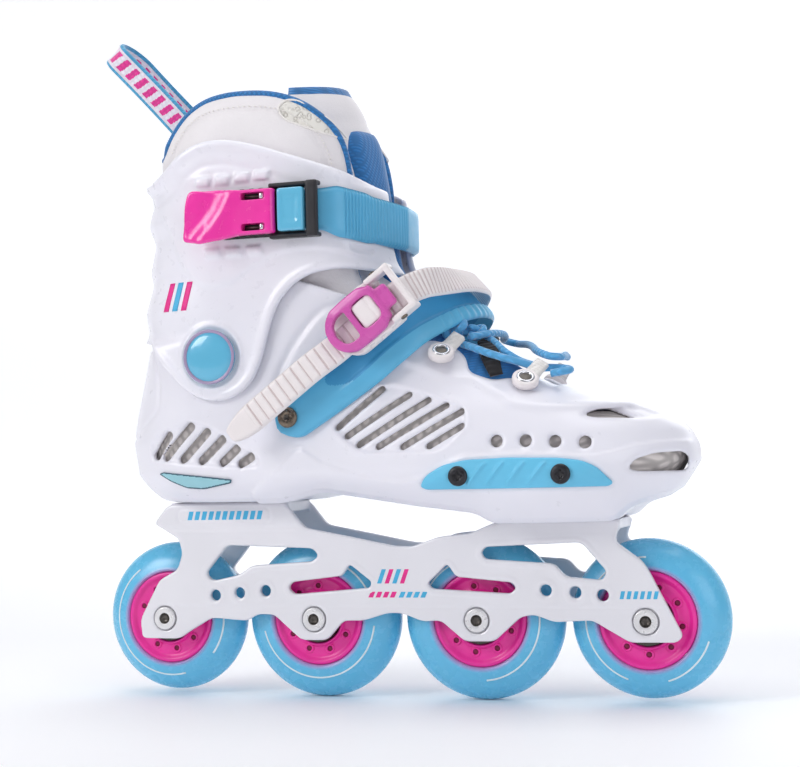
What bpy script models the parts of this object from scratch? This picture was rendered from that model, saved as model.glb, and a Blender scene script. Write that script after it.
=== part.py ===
"""Inline skate, right foot: four-wheel frame, hard boot, hinged cuff, soft liner, straps and buckles.

Dimensions are millimetres here and metres in the scene.  +X is the toe, +Y the inner side of the
foot, +Z up.  The wheels stand on Z = 0 and the origin is the bottom centre of the whole skate.
"""
import math

import bmesh
import bpy
import numpy as np
from mathutils import Matrix, Vector

MM = 0.001

# ------------------------------------------------------------------ driving dimensions (mm)
Y_CENTRE = 1.364                    # the middle plane of the frame lies this far to the inner side
GAP = 0.35                         # air left between pieces that touch in the real skate

AXLE_X = (-113.5, -38.5, 38.5, 113.5)
AXLE_Z = 37.0
WHEEL_R = (35.0, 37.0, 37.0, 35.0)   # end wheels are smaller: the rocker of the frame
TYRE_HALF = 11.6
TYRE_CROWN = 16.0                  # depth of the elliptic crown
HUB_R = 21.3
BEARING_R, BEARING_BORE, BEARING_W = 11.0, 4.25, 7.0
AXLE_R, AXLE_HEAD_R = 4.0, 5.15

RAIL_OUT, RAIL_IN = 17.0, 13.9     # half spacings of the rail faces
PLAT_REAR = (-110.0, -51.0, 86.0, 91.0)
PLAT_FRONT = (50.0, 103.0, 76.5, 81.0)
BOLT_REAR_X, BOLT_FRONT_X = -80.0, 76.5

PIVOT = (-75.5, 157.5)             # ankle hinge of the cuff
SHELL_WALL = 4.0
CUFF_WALL = 3.4
CUFF_TILT = (-2.0, 8.0)

STRAP_DIR = (0.8, 0.6)             # the instep strap climbs along this direction
BUCKLE = (0.0, 170.0)              # middle of the instep buckle

# ------------------------------------------------------------------ clean start
for ob in list(bpy.data.objects):
    bpy.data.objects.remove(ob, do_unlink=True)


# ------------------------------------------------------------------ small tools
def smooth(x, lo, hi):
    t = np.clip((x - lo) / (hi - lo), 0.0, 1.0)
    return t * t * (3.0 - 2.0 * t)


def table(points, v):
    xs, ys = zip(*points)
    return float(np.interp(v, xs, ys))


def material(name, rgb, rough, metal=0.0):
    mat = bpy.data.materials.new(name)
    mat.use_nodes = True
    bsdf = mat.node_tree.nodes["Principled BSDF"]
    bsdf.inputs["Base Color"].default_value = (*rgb, 1.0)
    bsdf.inputs["Roughness"].default_value = rough
    bsdf.inputs["Metallic"].default_value = metal
    mat.diffuse_color = (*rgb, 1.0)
    return mat


WHITE = ((0.86, 0.86, 0.92), 0.35, 0.0)
CREAM = ((0.84, 0.82, 0.80), 0.6, 0.0)
SKY = ((0.10, 0.50, 0.78), 0.35, 0.0)
BLUE = ((0.03, 0.25, 0.62), 0.7, 0.0)
PINK = ((0.80, 0.04, 0.32), 0.35, 0.0)
MAUVE = ((0.62, 0.11, 0.38), 0.35, 0.0)
BLACK = ((0.02, 0.02, 0.022), 0.5, 0.0)
STEEL = ((0.55, 0.55, 0.57), 0.3, 1.0)
PAINT = ((0.82, 0.83, 0.86), 0.3, 0.2)


def finish(bm, name, look, origin=(0.0, 0.0, 0.0)):
    """Turn a bmesh in millimetres into a named object with its own material."""
    bmesh.ops.remove_doubles(bm, verts=bm.verts, dist=0.0005)
    bmesh.ops.recalc_face_normals(bm, faces=bm.faces)
    mesh = bpy.data.meshes.new(name)
    for v in bm.verts:
        v.co = (v.co + Vector((0.0, Y_CENTRE, 0.0)) - Vector(origin)) * MM
    bm.to_mesh(mesh)
    bm.free()
    ob = bpy.data.objects.new(name, mesh)
    ob.location = Vector(origin) * MM
    bpy.context.scene.collection.objects.link(ob)
    if look:
        mesh.materials.append(material("m_" + name, *look))
    return ob


def combine(ob, others, operation="DIFFERENCE"):
    """Apply exact Booleans one after another and drop the cutters."""
    for other in others:
        other.hide_render = True
        other.display_type = "WIRE"
        mod = ob.modifiers.new("cut", "BOOLEAN")
        mod.operation, mod.solver, mod.object = operation, "EXACT", other
        deps = bpy.context.evaluated_depsgraph_get()
        result = bpy.data.meshes.new_from_object(ob.evaluated_get(deps))
        ob.modifiers.clear()
        old, ob.data = ob.data, result
        look = old.materials[0]
        result.materials.clear()
        result.materials.append(look)
        bpy.data.meshes.remove(old)
        bpy.data.objects.remove(other, do_unlink=True)
        bm = bmesh.new()
        bm.from_mesh(result)
        for face in bm.faces:
            face.material_index = 0
        bmesh.ops.remove_doubles(bm, verts=bm.verts, dist=2e-6)
        bm.to_mesh(result)
        bm.free()
    return ob


def round_corners(pts, radius, steps=3):
    """Replace every corner of a closed outline by an arc."""
    out = []
    n = len(pts)
    for i in range(n):
        p, a, b = (Vector(pts[j]) for j in (i, i - 1, (i + 1) % n))
        da, db = a - p, b - p
        r = radius[i] if isinstance(radius, (list, tuple)) else radius
        cut = min(r, 0.45 * da.length, 0.45 * db.length)
        if cut < 0.05:
            out.append(tuple(p))
            continue
        pa, pb = p + da.normalized() * cut, p + db.normalized() * cut
        for k in range(steps + 1):
            t = k / steps
            out.append(tuple((1 - t) ** 2 * pa + 2 * t * (1 - t) * p + t * t * pb))
    return out


def prism(bm, pts, lo, hi, axis="y"):
    """Closed prism of an outline: (x, z) along Y, or (x, y) along Z."""
    def place(p, h):
        return (p[0], h, p[1]) if axis == "y" else (p[0], p[1], h)
    a = [bm.verts.new(place(p, lo)) for p in pts]
    b = [bm.verts.new(place(p, hi)) for p in pts]
    n = len(pts)
    bm.faces.new(a)
    bm.faces.new(list(reversed(b)))
    for i in range(n):
        bm.faces.new((a[i], b[i], b[(i + 1) % n], a[(i + 1) % n]))


def box(bm, lo, hi):
    prism(bm, [(lo[0], lo[1]), (hi[0], lo[1]), (hi[0], hi[1]), (lo[0], hi[1])], lo[2], hi[2], "z")


def lathe(bm, profile, cx, cz, seg, phase=0.0):
    """Turn a closed (radius, y) profile about the Y direction through (cx, cz)."""
    rings = []
    for r, y in profile:
        if r < 1e-6:
            rings.append([bm.verts.new((cx, y, cz))] * seg)
        else:
            rings.append([bm.verts.new((cx + r * math.cos(2 * math.pi * (k + phase) / seg), y,
                                        cz + r * math.sin(2 * math.pi * (k + phase) / seg)))
                          for k in range(seg)])
    for i in range(len(rings)):
        a, b = rings[i], rings[(i + 1) % len(rings)]
        for k in range(seg):
            quad = []
            for v in (a[k], a[(k + 1) % seg], b[(k + 1) % seg], b[k]):
                if v not in quad:
                    quad.append(v)
            if len(quad) > 2 and not (a[k] is a[(k + 1) % seg] and b[k] is b[(k + 1) % seg]):
                bm.faces.new(quad)


def rod(bm, a, b, r, seg=16):
    """Closed round bar from a to b."""
    a, b = Vector(a), Vector(b)
    z = (b - a).normalized()
    x = z.orthogonal().normalized()
    y = z.cross(x)
    ends = []
    for c in (a, b):
        ends.append([bm.verts.new(c + x * r * math.cos(2 * math.pi * k / seg)
                                  + y * r * math.sin(2 * math.pi * k / seg)) for k in range(seg)])
    bm.faces.new(ends[0])
    bm.faces.new(list(reversed(ends[1])))
    for k in range(seg):
        bm.faces.new((ends[0][k], ends[1][k], ends[1][(k + 1) % seg], ends[0][(k + 1) % seg]))


def stack(bm, rings, cap=True):
    """Skin rings of equal length; the end rings are closed by pairing mirrored points."""
    vs = [[bm.verts.new(p) for p in ring] for ring in rings]
    n = len(vs[0])
    for a, b in zip(vs, vs[1:]):
        for k in range(n):
            bm.faces.new((a[k], a[(k + 1) % n], b[(k + 1) % n], b[k]))
    if cap:
        for ring in (vs[0], vs[-1]):
            for k in range(n // 2):
                quad = []
                for v in (ring[k], ring[k + 1], ring[(n - k - 1) % n], ring[(n - k) % n]):
                    if v not in quad:
                        quad.append(v)
                if len(quad) > 2:
                    bm.faces.new(quad)


def cutter(build, *args):
    bm = bmesh.new()
    build(bm, *args)
    return finish(bm, "cutter", None)


# ------------------------------------------------------------------ the boot's outer form
WIDTH_X = (-131, -105, -75, -36, 0, 40, 75, 105, 137)
WIDTH = {                                       # half widths of the hard boot by height
    106: (33, 37, 38.5, 41.5, 45, 48, 48.5, 44, 36),
    118: (33, 37.5, 38.5, 42, 45, 47, 46.5, 41.5, 34),
    130: (33, 37.5, 38.5, 42, 44, 44, 40, 34, 28),
    140: (33, 37.5, 38.5, 40, 42, 38, 31, 25, 21),
    150: (33, 37.5, 38.5, 38.5, 40, 34, 27, 22, 18),
    165: (33, 37, 38, 38, 37.5, 32, 26, 20, 16),
    195: (32, 36, 37.5, 37.5, 36, 30, 25, 20, 16)}
SOLE = ((-131, 91.5), (-49, 91.5), (-40, 93.0), (-27, 96.4), (18, 89.4), (45, 86.0), (51, 81.5),
        (104, 81.5), (109, 87.5), (126, 92.2), (137, 96.8))
SHELL_BACK = ((91.5, -113), (95, -121.5), (103.7, -129), (119.7, -131.6), (131.9, -129.4),
              (147, -125.6), (164.3, -121.6), (164.8, -111.5), (200, -109))
SHELL_FRONT = ((88, 124), (96.8, 135.5), (105, 136.8), (113, 136.4), (116.5, 134.5), (121.2, 132),
               (126, 124.5), (130.1, 115.7), (135.7, 102), (138.5, 88), (141.7, 77), (150, 62),
               (160, 49), (175, 32), (190, 20), (200, 14))
HEEL_R, TOE_R, ROUND = 42.0, 46.0, 2.25


def centre_line(x):
    return 4.0 * float(smooth(x, 30.0, 130.0))


def half_width(x, z):
    levels = sorted(WIDTH)
    z = min(max(z, levels[0]), levels[-1])
    rows = [float(np.interp(x, WIDTH_X, WIDTH[k])) for k in levels]
    return float(np.interp(z, levels, rows))


def end_factor(x, xb, xf, rb, rf):
    e = max((xb + rb - x) / rb, (x - xf + rf) / rf, 0.0)
    return max(0.0, 1.0 - min(e, 1.0) ** ROUND) ** (1.0 / ROUND)


def ring(xb, xf, rb, rf, width, height, arc=6, side=4):
    """Closed loop from the heel round the outer side to the toe and back; mirrored in pairs."""
    xs = []
    for k in range(arc):
        a = 0.5 * math.pi * k / arc
        xs.append((xb + rb - rb * math.cos(a) ** (2 / ROUND), math.sin(a) ** (2 / ROUND)))
    for k in range(side + 1):
        xs.append((xb + rb + (xf - rf - xb - rb) * k / side, 1.0))
    for k in range(1, arc + 1):
        a = 0.5 * math.pi * (1 - k / arc)
        xs.append((xf - rf + rf * max(math.cos(a), 0.0) ** (2 / ROUND), math.sin(a) ** (2 / ROUND)))
    pts = [(x, centre_line(x) - width(x) * f, height(x)) for x, f in xs]
    back = [(x, centre_line(x) + width(x) * f, height(x)) for x, f in xs[1:-1]]
    return pts + back[::-1]


def side_y(x, z, lift=0.0):
    """Outer side of the hard boot: how far it stands from the middle plane at (x, z)."""
    zb = table(SOLE, x)
    h = min(max((z - zb) / (106.0 - zb), 0.0), 1.0)
    w = half_width(x, z) * (1.0 - 0.26 * (1.0 - h) ** 2)
    f = end_factor(x, table(SHELL_BACK, z), table(SHELL_FRONT, z), HEEL_R, TOE_R)
    return w * f + lift


def shell_outer(bm):
    rings = []
    for g in (0.0, 0.12, 0.45):
        xb = -113.0 - 17.0 * g ** 0.55
        xf = 126.0 + 10.8 * g ** 0.55
        rings.append(ring(
            xb, xf, HEEL_R, TOE_R,
            lambda x, g=g: half_width(x, 106.0) * (1.0 - 0.26 * (1.0 - g) ** 2),
            lambda x, g=g: table(SOLE, x) + g * (106.0 - table(SOLE, x))))
    for z in (106, 114, 119, 125, 130, 135, 139, 142, 150, 164.3, 164.8, 196):
        rings.append(ring(table(SHELL_BACK, z), table(SHELL_FRONT, z), HEEL_R, TOE_R,
                          lambda x, z=z: half_width(x, z), lambda x, z=z: z))
    stack(bm, rings)


def boot_inner(bm, inset, floor, top, levels):
    """The same form shrunk by an inset: cavities, the liner and the sole pad."""
    rings = []
    for z in [floor] + [v for v in levels if floor + 2 < v < top - 1] + [top]:
        drop = inset * 0.9 * float(smooth(z, 104.0, 120.0))
        if z > 142:
            drop *= 0.6
        back = max(table(SHELL_BACK, z), table(SHELL_BACK, min(z + 3.0, 200.0)) if z > 158 else -999)
        tuck = 3.0 * (1.0 - float(smooth(z, floor, floor + 9.0)))
        rings.append(ring(
            back + inset + tuck, table(SHELL_FRONT, z + drop) - 0.85 * inset - tuck,
            HEEL_R - 2, TOE_R - 2,
            lambda x, z=z, d=drop, t=tuck: half_width(x, z + d * float(smooth(x, 0, 40))) - inset - t,
            lambda x, z=z: z))
    stack(bm, rings)


CAVITY_LEVELS = (106, 119, 125, 130, 135, 139, 150, 164.3)


def patch(bm, cols, rows, span, lift_in, lift_out, sign, surface=side_y):
    """Thin shaped plate lying on the boot: span(u) gives (x, z low, z high) for u from 0 to 1."""
    grids = []
    for lift in (lift_in, lift_out):
        grid = []
        for i in range(cols + 1):
            x, z0, z1 = span(i / cols)
            col = []
            for j in range(rows + 1):
                z = z0 + (z1 - z0) * j / rows
                col.append(bm.verts.new((x, centre_line(x) + sign * surface(x, z, lift), z)))
            grid.append(col)
        grids.append(grid)
    a, b = grids
    for i in range(cols):
        for j in range(rows):
            bm.faces.new((a[i][j], a[i + 1][j], a[i + 1][j + 1], a[i][j + 1]))
            bm.faces.new((b[i][j], b[i][j + 1], b[i + 1][j + 1], b[i + 1][j]))
    for i in range(cols):
        bm.faces.new((a[i][0], b[i][0], b[i + 1][0], a[i + 1][0]))
        bm.faces.new((a[i][rows], a[i + 1][rows], b[i + 1][rows], b[i][rows]))
    for j in range(rows):
        bm.faces.new((a[0][j], a[0][j + 1], b[0][j + 1], b[0][j]))
        bm.faces.new((a[cols][j], b[cols][j], b[cols][j + 1], a[cols][j + 1]))


def slot_cutter(a, b, width, y0, y1, steps=2):
    """Cutter for a slot with round ends from a to b in the XZ plane."""
    a, b = Vector(a), Vector(b)
    d = (b - a).normalized()
    n = Vector((-d.y, d.x))
    pts = []
    for c, base in ((b, -90), (a, 90)):
        for k in range(steps + 1):
            t = math.radians(base + 180 * k / steps)
            pts.append(tuple(c + 0.5 * width * (d * math.cos(t) + n * math.sin(t))))
    return cutter(prism, pts, y0, y1)


# ------------------------------------------------------------------ wheels
def build_wheel(i):
    cx, radius = AXLE_X[i], WHEEL_R[i]
    origin = (cx, Y_CENTRE, AXLE_Z)
    name = "wheel%d_" % (i + 1)

    def crown(s):
        return radius - TYRE_CROWN * (1.0 - math.sqrt(max(0.0, 1.0 - (s / TYRE_HALF) ** 2)))
    prof = [(HUB_R + GAP, -TYRE_HALF + 1.0), (HUB_R + 1.0, -TYRE_HALF)]
    prof += [(crown(s * TYRE_HALF), s * TYRE_HALF) for s in (-1, -0.86, -0.5, 0, 0.5, 0.86, 1)]
    edge = max(crown(TYRE_HALF), HUB_R) + 2.0
    prof[2] = (edge, -TYRE_HALF)
    prof[-1] = (edge, TYRE_HALF)
    prof += [(HUB_R + 1.0, TYRE_HALF), (HUB_R + GAP, TYRE_HALF - 1.0)]
    bm = bmesh.new()
    lathe(bm, prof, cx, AXLE_Z, 24)
    finish(bm, name + "tyre", SKY, origin)

    bm = bmesh.new()
    seat, web, lip = BEARING_R + GAP, 8.5, 11.9
    lathe(bm, [(HUB_R, -10.8), (HUB_R, 10.8), (13.2, 10.8), (12.6, lip), (seat, lip), (seat, 4.7), (web, 4.7),
               (web, -4.7), (seat, -4.7), (seat, -lip), (12.6, -lip), (13.2, -10.8)],
          cx, AXLE_Z, 20)
    finish(bm, name + "hub", PINK, origin)

    for side, sgn in (("near", -1), ("far", 1)):
        bm = bmesh.new()
        y0, y1 = sorted((sgn * 5.0, sgn * (5.0 + BEARING_W)))
        lathe(bm, [(BEARING_BORE, y0), (BEARING_R, y0), (BEARING_R, y1), (BEARING_BORE, y1)],
              cx, AXLE_Z, 16)
        finish(bm, name + "bearing_" + side, STEEL, origin)

    bm = bmesh.new()
    lathe(bm, [(BEARING_BORE + 0.15, -4.65), (5.6, -4.65), (5.6, 4.65), (BEARING_BORE + 0.15, 4.65)],
          cx, AXLE_Z, 12)
    finish(bm, name + "spacer", STEEL)

    bm = bmesh.new()
    lathe(bm, [(0, -15.6), (2.3, -15.6), (2.5, -17.25), (4.7, -17.25), (AXLE_HEAD_R, -16.8),
               (AXLE_HEAD_R, -15.5), (AXLE_R, -15.5), (AXLE_R, 17.6), (0, 17.6)], cx, AXLE_Z, 16)
    finish(bm, name + "axle", STEEL)


for index in range(4):
    build_wheel(index)

# ------------------------------------------------------------------ frame
RAIL = [(-110.9, 90.1), (-118.3, 81.5), (-105.5, 74.2), (-103.8, 67.4), (-106.5, 59.8), (-115.9, 55.0),
        (-126.2, 36.7), (-125.6, 27.6), (-106.5, 27.5), (-100.6, 31.2), (-89.5, 37.4), (-71.5, 36.1),
        (-66.3, 39.2), (-58.2, 39.1), (-44.8, 27.5), (-32.4, 27.6), (-24.2, 36.5), (-14.4, 36.6),
        (-2.7, 40.1), (4.0, 40.0), (13.5, 36.4), (21.9, 36.9), (32.9, 27.7), (46.2, 27.8), (58.6, 38.7),
        (64.7, 39.7), (73.6, 36.5), (90.3, 37.4), (106.5, 28.0), (126.6, 28.2), (129.3, 31.1),
        (115.2, 59.5), (112.5, 63.3), (101.1, 71.6), (104.3, 80.6), (49.8, 80.6), (45.7, 79.4),
        (36.4, 75.5), (21.9, 74.2), (9.2, 69.8), (1.0, 70.1), (-22.3, 74.9), (-42.1, 78.8),
        (-51.4, 90.1)]
WINDOWS = [
    ([(-81, 71.1), (-38.3, 69.4), (-35.4, 66.1), (-38.4, 63.4), (-68.8, 61.6), (-74.6, 57.4),
      (-88.6, 54.5), (-92.2, 57.9)], 3.0),
    ([(-50.8, 51.2), (-48.7, 54.0), (-24.2, 56.8), (-20.6, 62.2), (-10.1, 54.0), (-11.1, 51.4),
      (-47.8, 48.4)], 1.6),
    ([(16.1, 53.3), (25.7, 62.2), (29.6, 56.3), (55.1, 53.8), (57, 51.4), (54.4, 48.9), (18.4, 51.0)], 1.6),
    ([(41.2, 66.8), (43.4, 69.5), (86.5, 71.2), (97.3, 58.6), (95.7, 54.8), (79.1, 56.2), (74.3, 62.0),
      (43.2, 64.1)], 3.0)]
RAIL_HOLES = ((-87.2, 47.9), (-75, 49), (-62, 50), (70.2, 50.4), (83.3, 49.5), (95.3, 48.3))

parts = []
for lo, hi in ((-RAIL_OUT, -RAIL_IN), (RAIL_IN, RAIL_OUT)):
    bm = bmesh.new()
    prism(bm, RAIL, lo, hi)
    parts.append(finish(bm, "rail", PAINT if lo < 0 else None))
frame = parts[0]
frame.name = "frame"
extra = [parts[1]]
for x0, x1, z0, z1 in (PLAT_REAR, PLAT_FRONT):
    bm = bmesh.new()
    prism(bm, round_corners([(x0, -15.6), (x1, -15.6), (x1, 15.6), (x0, 15.6)], 3.0, 2), z0, z1, "z")
    extra.append(finish(bm, "platform", None))
for x in AXLE_X:
    for sgn in (-1, 1):
        bm = bmesh.new()
        y0, y1 = sorted((sgn * 12.4, sgn * 15.0))
        rod(bm, (x, y0, AXLE_Z), (x, y1, AXLE_Z), 6.2, 16)
        extra.append(finish(bm, "boss", None))
combine(frame, extra, "UNION")
cuts = [cutter(prism, round_corners(pts, r * 0.6, 1), -20, 20) for pts, r in WINDOWS]
for x in AXLE_X:
    cuts.append(cutter(rod, (x, -20, AXLE_Z), (x, 20, AXLE_Z), AXLE_R + 0.4, 12))
    cuts.append(cutter(rod, (x, -20, AXLE_Z), (x, -15.15, AXLE_Z), AXLE_HEAD_R + 0.45, 14))
for x, z in RAIL_HOLES:
    cuts.append(cutter(rod, (x, -20, z), (x, 20, z), 2.4, 8))
for x, z0, z1 in ((BOLT_REAR_X, 80, 95), (BOLT_FRONT_X, 70, 85)):
    cuts.append(cutter(rod, (x, 0, z0), (x, 0, z1), 4.4, 16))
combine(frame, cuts)

for name, x, z0, z1 in (("frame_bolt_rear", BOLT_REAR_X, PLAT_REAR[2], 97.0),
                        ("frame_bolt_front", BOLT_FRONT_X, PLAT_FRONT[2], 93.0)):
    bm = bmesh.new()
    rings = []
    for r, z in ((7.0, z0 - GAP - 3.4), (7.0, z0 - GAP), (4.0, z0 - GAP), (4.0, z1)):
        rings.append([(x + r * math.cos(2 * math.pi * k / 16), r * math.sin(2 * math.pi * k / 16), z)
                      for k in range(16)])
    stack(bm, rings)
    finish(bm, name, STEEL)

# ------------------------------------------------------------------ hard boot
RIM = [(-140, 192), (-38, 192), (-12, 183), (6, 171), (19.8, 160.5), (27.5, 161.2), (35.6, 157.4),
       (40.7, 153.0), (42.2, 146.5), (52.4, 142.6), (61, 144.2), (67.5, 144.8), (74.5, 141.0),
       (78.0, 139.6), (90, 150), (90, 215), (-140, 215)]
THROAT = [(79.5, 1.5), (77, 8), (70, 14), (58, 18), (42, 21), (20, 25), (0, 29), (-30, 33), (-60, 33),
          (-60, -33), (-30, -33), (0, -27), (20, -23), (42, -18), (58, -15), (70, -10), (77, -5)]

MID_SLOTS = [((-11.5, 123.0), (5.0, 137.0)), ((-7.5, 116.8), (14.6, 134.8)), ((2.7, 116.4), (23.2, 133.0)),
             ((12.8, 116.2), (31.4, 131.2)), ((22.6, 116.0), (38.0, 128.6)), ((31.4, 115.6), (41.2, 123.6))]
HEEL_SLOTS = [((-107.0, 114.8), (-101.5, 121.5)), ((-99.5, 112.0), (-91.2, 123.8)),
              ((-90.5, 111.2), (-80.6, 123.4)), ((-81.2, 110.8), (-73.0, 119.6)),
              ((-71.5, 110.8), (-66.0, 116.0))]

bm = bmesh.new()
shell_outer(bm)
shell = finish(bm, "shell", WHITE)
bm = bmesh.new()
boot_inner(bm, SHELL_WALL, 100.0, 205.0, CAVITY_LEVELS)
cuts = [finish(bm, "cavity", None), cutter(prism, RIM, -70, 70), cutter(prism, THROAT, 128, 230, "z")]
for sgn in (-1, 1):
    y0, y1 = sorted((sgn * 27.0, sgn * 70.0))
    cuts += [slot_cutter(a, b, 4.3, y0, y1) for a, b in MID_SLOTS]
    cuts += [slot_cutter(a, b, 4.2, y0, y1) for a, b in HEEL_SLOTS]
    cuts.append(cutter(rod, (PIVOT[0], sgn * 30, PIVOT[1]), (PIVOT[0], sgn * 60, PIVOT[1]), 5.4, 16))
    cuts.append(cutter(rod, (-37, sgn * 30, 129.0), (-37, sgn * 60, 129.0), 2.4, 10))
    for x in (57.5, 69.6, 81.6, 93.4):
        cuts.append(cutter(rod, (x, sgn * 30, 115.6), (x, sgn * 60, 114.8), 2.7, 8))
    for x in (41.0, 84.7):
        cuts.append(cutter(rod, (x, sgn * 36, 101.6), (x, sgn * 60, 101.6), 2.3, 10))
    for x, y, z in ((31.4, 32, 154.0), (67.0, 26.5, 140.2)):
        cuts.append(cutter(rod, (x, sgn * (y - 12) + centre_line(x), z - 8),
                           (x, sgn * (y + 9) + centre_line(x), z + 6), 1.9, 8))
cuts.append(cutter(prism, round_corners([(112, 103.2), (115, 107.6), (121, 109.4), (131.5, 109.8),
                                         (133.5, 107), (132.2, 102.6)], 1.5, 2), -60, 60))
for x, z in ((BOLT_REAR_X, 98.0), (BOLT_FRONT_X, 94.0)):
    cuts.append(cutter(rod, (x, 0, 70), (x, 0, z), 4.35, 16))
combine(shell, cuts)

# ------------------------------------------------------------------ cuff
CUFF_BACK = ((134, -131), (164.7, -127.6), (166.8, -120), (180.7, -122), (194, -117.7), (199.3, -119.3),
             (212.5, -115.8), (221.3, -119.3), (229, -116.8), (234.3, -116.4), (241.8, -120.7), (262, -119))
CUFF_FRONT = ((134, 20), (192, 16.5), (205, 13), (230, 10.5), (245, 7.0), (262, 3.0))
CUFF_HALF = ((134, 42.6), (200, 42.9), (225, 45.2), (245, 46.4), (262, 46.4))
CUFF_R = 44.0


def cuff_y(x, z, lift=0.0):
    f = end_factor(x, table(CUFF_BACK, z), table(CUFF_FRONT, z), CUFF_R, CUFF_R)
    return table(CUFF_HALF, z) * f + lift


def cuff_solid(bm, inset, levels):
    rings = []
    for z in levels:
        w = table(CUFF_HALF, z) - inset
        rings.append(ring(table(CUFF_BACK, z) + inset, table(CUFF_FRONT, z) - inset,
                          CUFF_R - inset, CUFF_R - inset, lambda x, w=w: w, lambda x, z=z: z, 8, 3))
    stack(bm, rings)


CUFF_SIDE = [(-126, 166.8), (-108.6, 166.0), (-105.5, 160), (-98, 151.7), (-88.4, 142.4), (-79.8, 137.9),
             (-69.1, 137.6), (-60.5, 141.4), (-55.1, 147), (-50.7, 156.6), (-47.2, 170), (-42.8, 180.6),
             (-36.3, 188), (-27.9, 192.6), (-15.5, 194.6), (-0.3, 193.7), (30, 190.5), (30, 227),
             (8.3, 231.1), (-9.8, 237.6), (-32.6, 245.7), (-51.4, 252.4), (-66, 255.7), (-78.6, 255.0),
             (-89.1, 250.2), (-98.6, 242.5), (-108, 239.2), (-126, 242.3)]
bm = bmesh.new()
cuff_solid(bm, 0.0, (135, 164.7, 166.8, 180.7, 194, 199.3, 212.5, 221.3, 229, 234.3, 241.8, 260))
cuff = finish(bm, "cuff", WHITE, (PIVOT[0], Y_CENTRE, PIVOT[1]))
bm = bmesh.new()
cuff_solid(bm, CUFF_WALL, (130, 164.7, 166.8, 194, 212.5, 229, 245, 266))
hollow = finish(bm, "hollow", None)
bm = bmesh.new()
prism(bm, round_corners(CUFF_SIDE, 4.0, 2), -60, 60)
combine(cuff, [finish(bm, "side", None)], "INTERSECT")
cuts = [hollow, cutter(box, (-4, -13, 120), (40, 13, 270))]
for sgn in (-1, 1):
    cuts.append(cutter(rod, (PIVOT[0], sgn * 30, PIVOT[1]), (PIVOT[0], sgn * 60, PIVOT[1]), 5.4, 16))
    cuts.append(cutter(rod, (-52.0, sgn * 30, 220.5), (-52.0, sgn * 60, 220.5), 2.4, 10))
combine(cuff, cuts)

for side, sgn in (("outer", -1), ("inner", 1)):
    bm = bmesh.new()
    lathe(bm, [(0, sgn * 36.0), (5.0, sgn * 36.0), (5.0, sgn * 43.25), (12.4, sgn * 43.25),
               (12.4, sgn * 44.6), (11.0, sgn * 45.6), (0, sgn * 46.1)], PIVOT[0], PIVOT[1], 24)
    finish(bm, "pivot_cap_" + side, SKY, (PIVOT[0], Y_CENTRE, PIVOT[1]))

# ------------------------------------------------------------------ guards, screws, heel inlays
GUARD_TOP = ((22.5, 99.0), (26, 103.0), (34, 106.6), (44, 108.4), (62, 109.0), (84, 108.4), (93, 107.2),
             (99, 104.4), (105.5, 97.4))


def guard_span(u):
    x = 23.0 + 82.0 * u
    return x, 95.9, table(GUARD_TOP, x)


def inlay_span(u):
    x = -106.0 + 38.0 * u
    low = 105.0 - 7.4 * math.sin(math.pi * u ** 0.8) ** 0.75
    return x, min(low, 104.2 - 3.2 * u), 106.0 - 4.0 * u


for side, sgn in (("outer", -1), ("inner", 1)):
    bm = bmesh.new()
    patch(bm, 12, 3, guard_span, 0.6, 3.0, sgn)
    guard = finish(bm, "guard_" + side, SKY)
    combine(guard, [cutter(rod, (x, sgn * 36, 101.6), (x, sgn * 66, 101.6), 2.3, 10) for x in (41.0, 84.7)])
    for end, x in (("rear", 41.0), ("front", 84.7)):
        y = 3.4 + max(side_y(x + d, 101.6 + e) for d in (-5, 0, 5) for e in (-5, 0, 5))
        root = side_y(x, 101.6, -3.6)
        bm = bmesh.new()
        c = centre_line(x)
        lathe(bm, [(0, sgn * root + c), (2.0, sgn * root + c), (2.0, sgn * y + c), (4.6, sgn * y + c),
                   (4.3, sgn * (y + 0.9) + c), (0, sgn * (y + 1.5) + c)], x, 101.6, 14)
        finish(bm, "guard_screw_%s_%s" % (side, end), BLACK)
    bm = bmesh.new()
    patch(bm, 8, 2, inlay_span, 0.35, 1.3, sgn)
    finish(bm, "heel_inlay_" + side, ((0.30, 0.55, 0.62), 0.4, 0.0))

# ------------------------------------------------------------------ liner, sole pad, tongue
LINER_BACK = ((165, -106.4), (192, -104.5), (205, -110.5), (230, -112), (243, -112.4), (256, -111.5),
              (266, -107), (278, -100))
LINER_FRONT = ((165, 36), (178, 24.6), (193, 14), (205, 7.8), (225, 3.6), (240, 1.0), (256, -2.5), (278, -8))
LINER_HALF = ((165, 31.4), (188, 32.0), (203, 37.6), (225, 41.0), (242, 42.4), (256, 43.0), (268, 41.5),
              (278, 39.0))
LINER_R = 42.0


def liner_rings(inset, levels):
    rings = []
    for z in levels:
        w = table(LINER_HALF, z) - inset
        rings.append(ring(table(LINER_BACK, z) + inset, table(LINER_FRONT, z) - inset, LINER_R - inset,
                          LINER_R - inset, lambda x, w=w: w, lambda x, z=z: z))
    return rings


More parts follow.
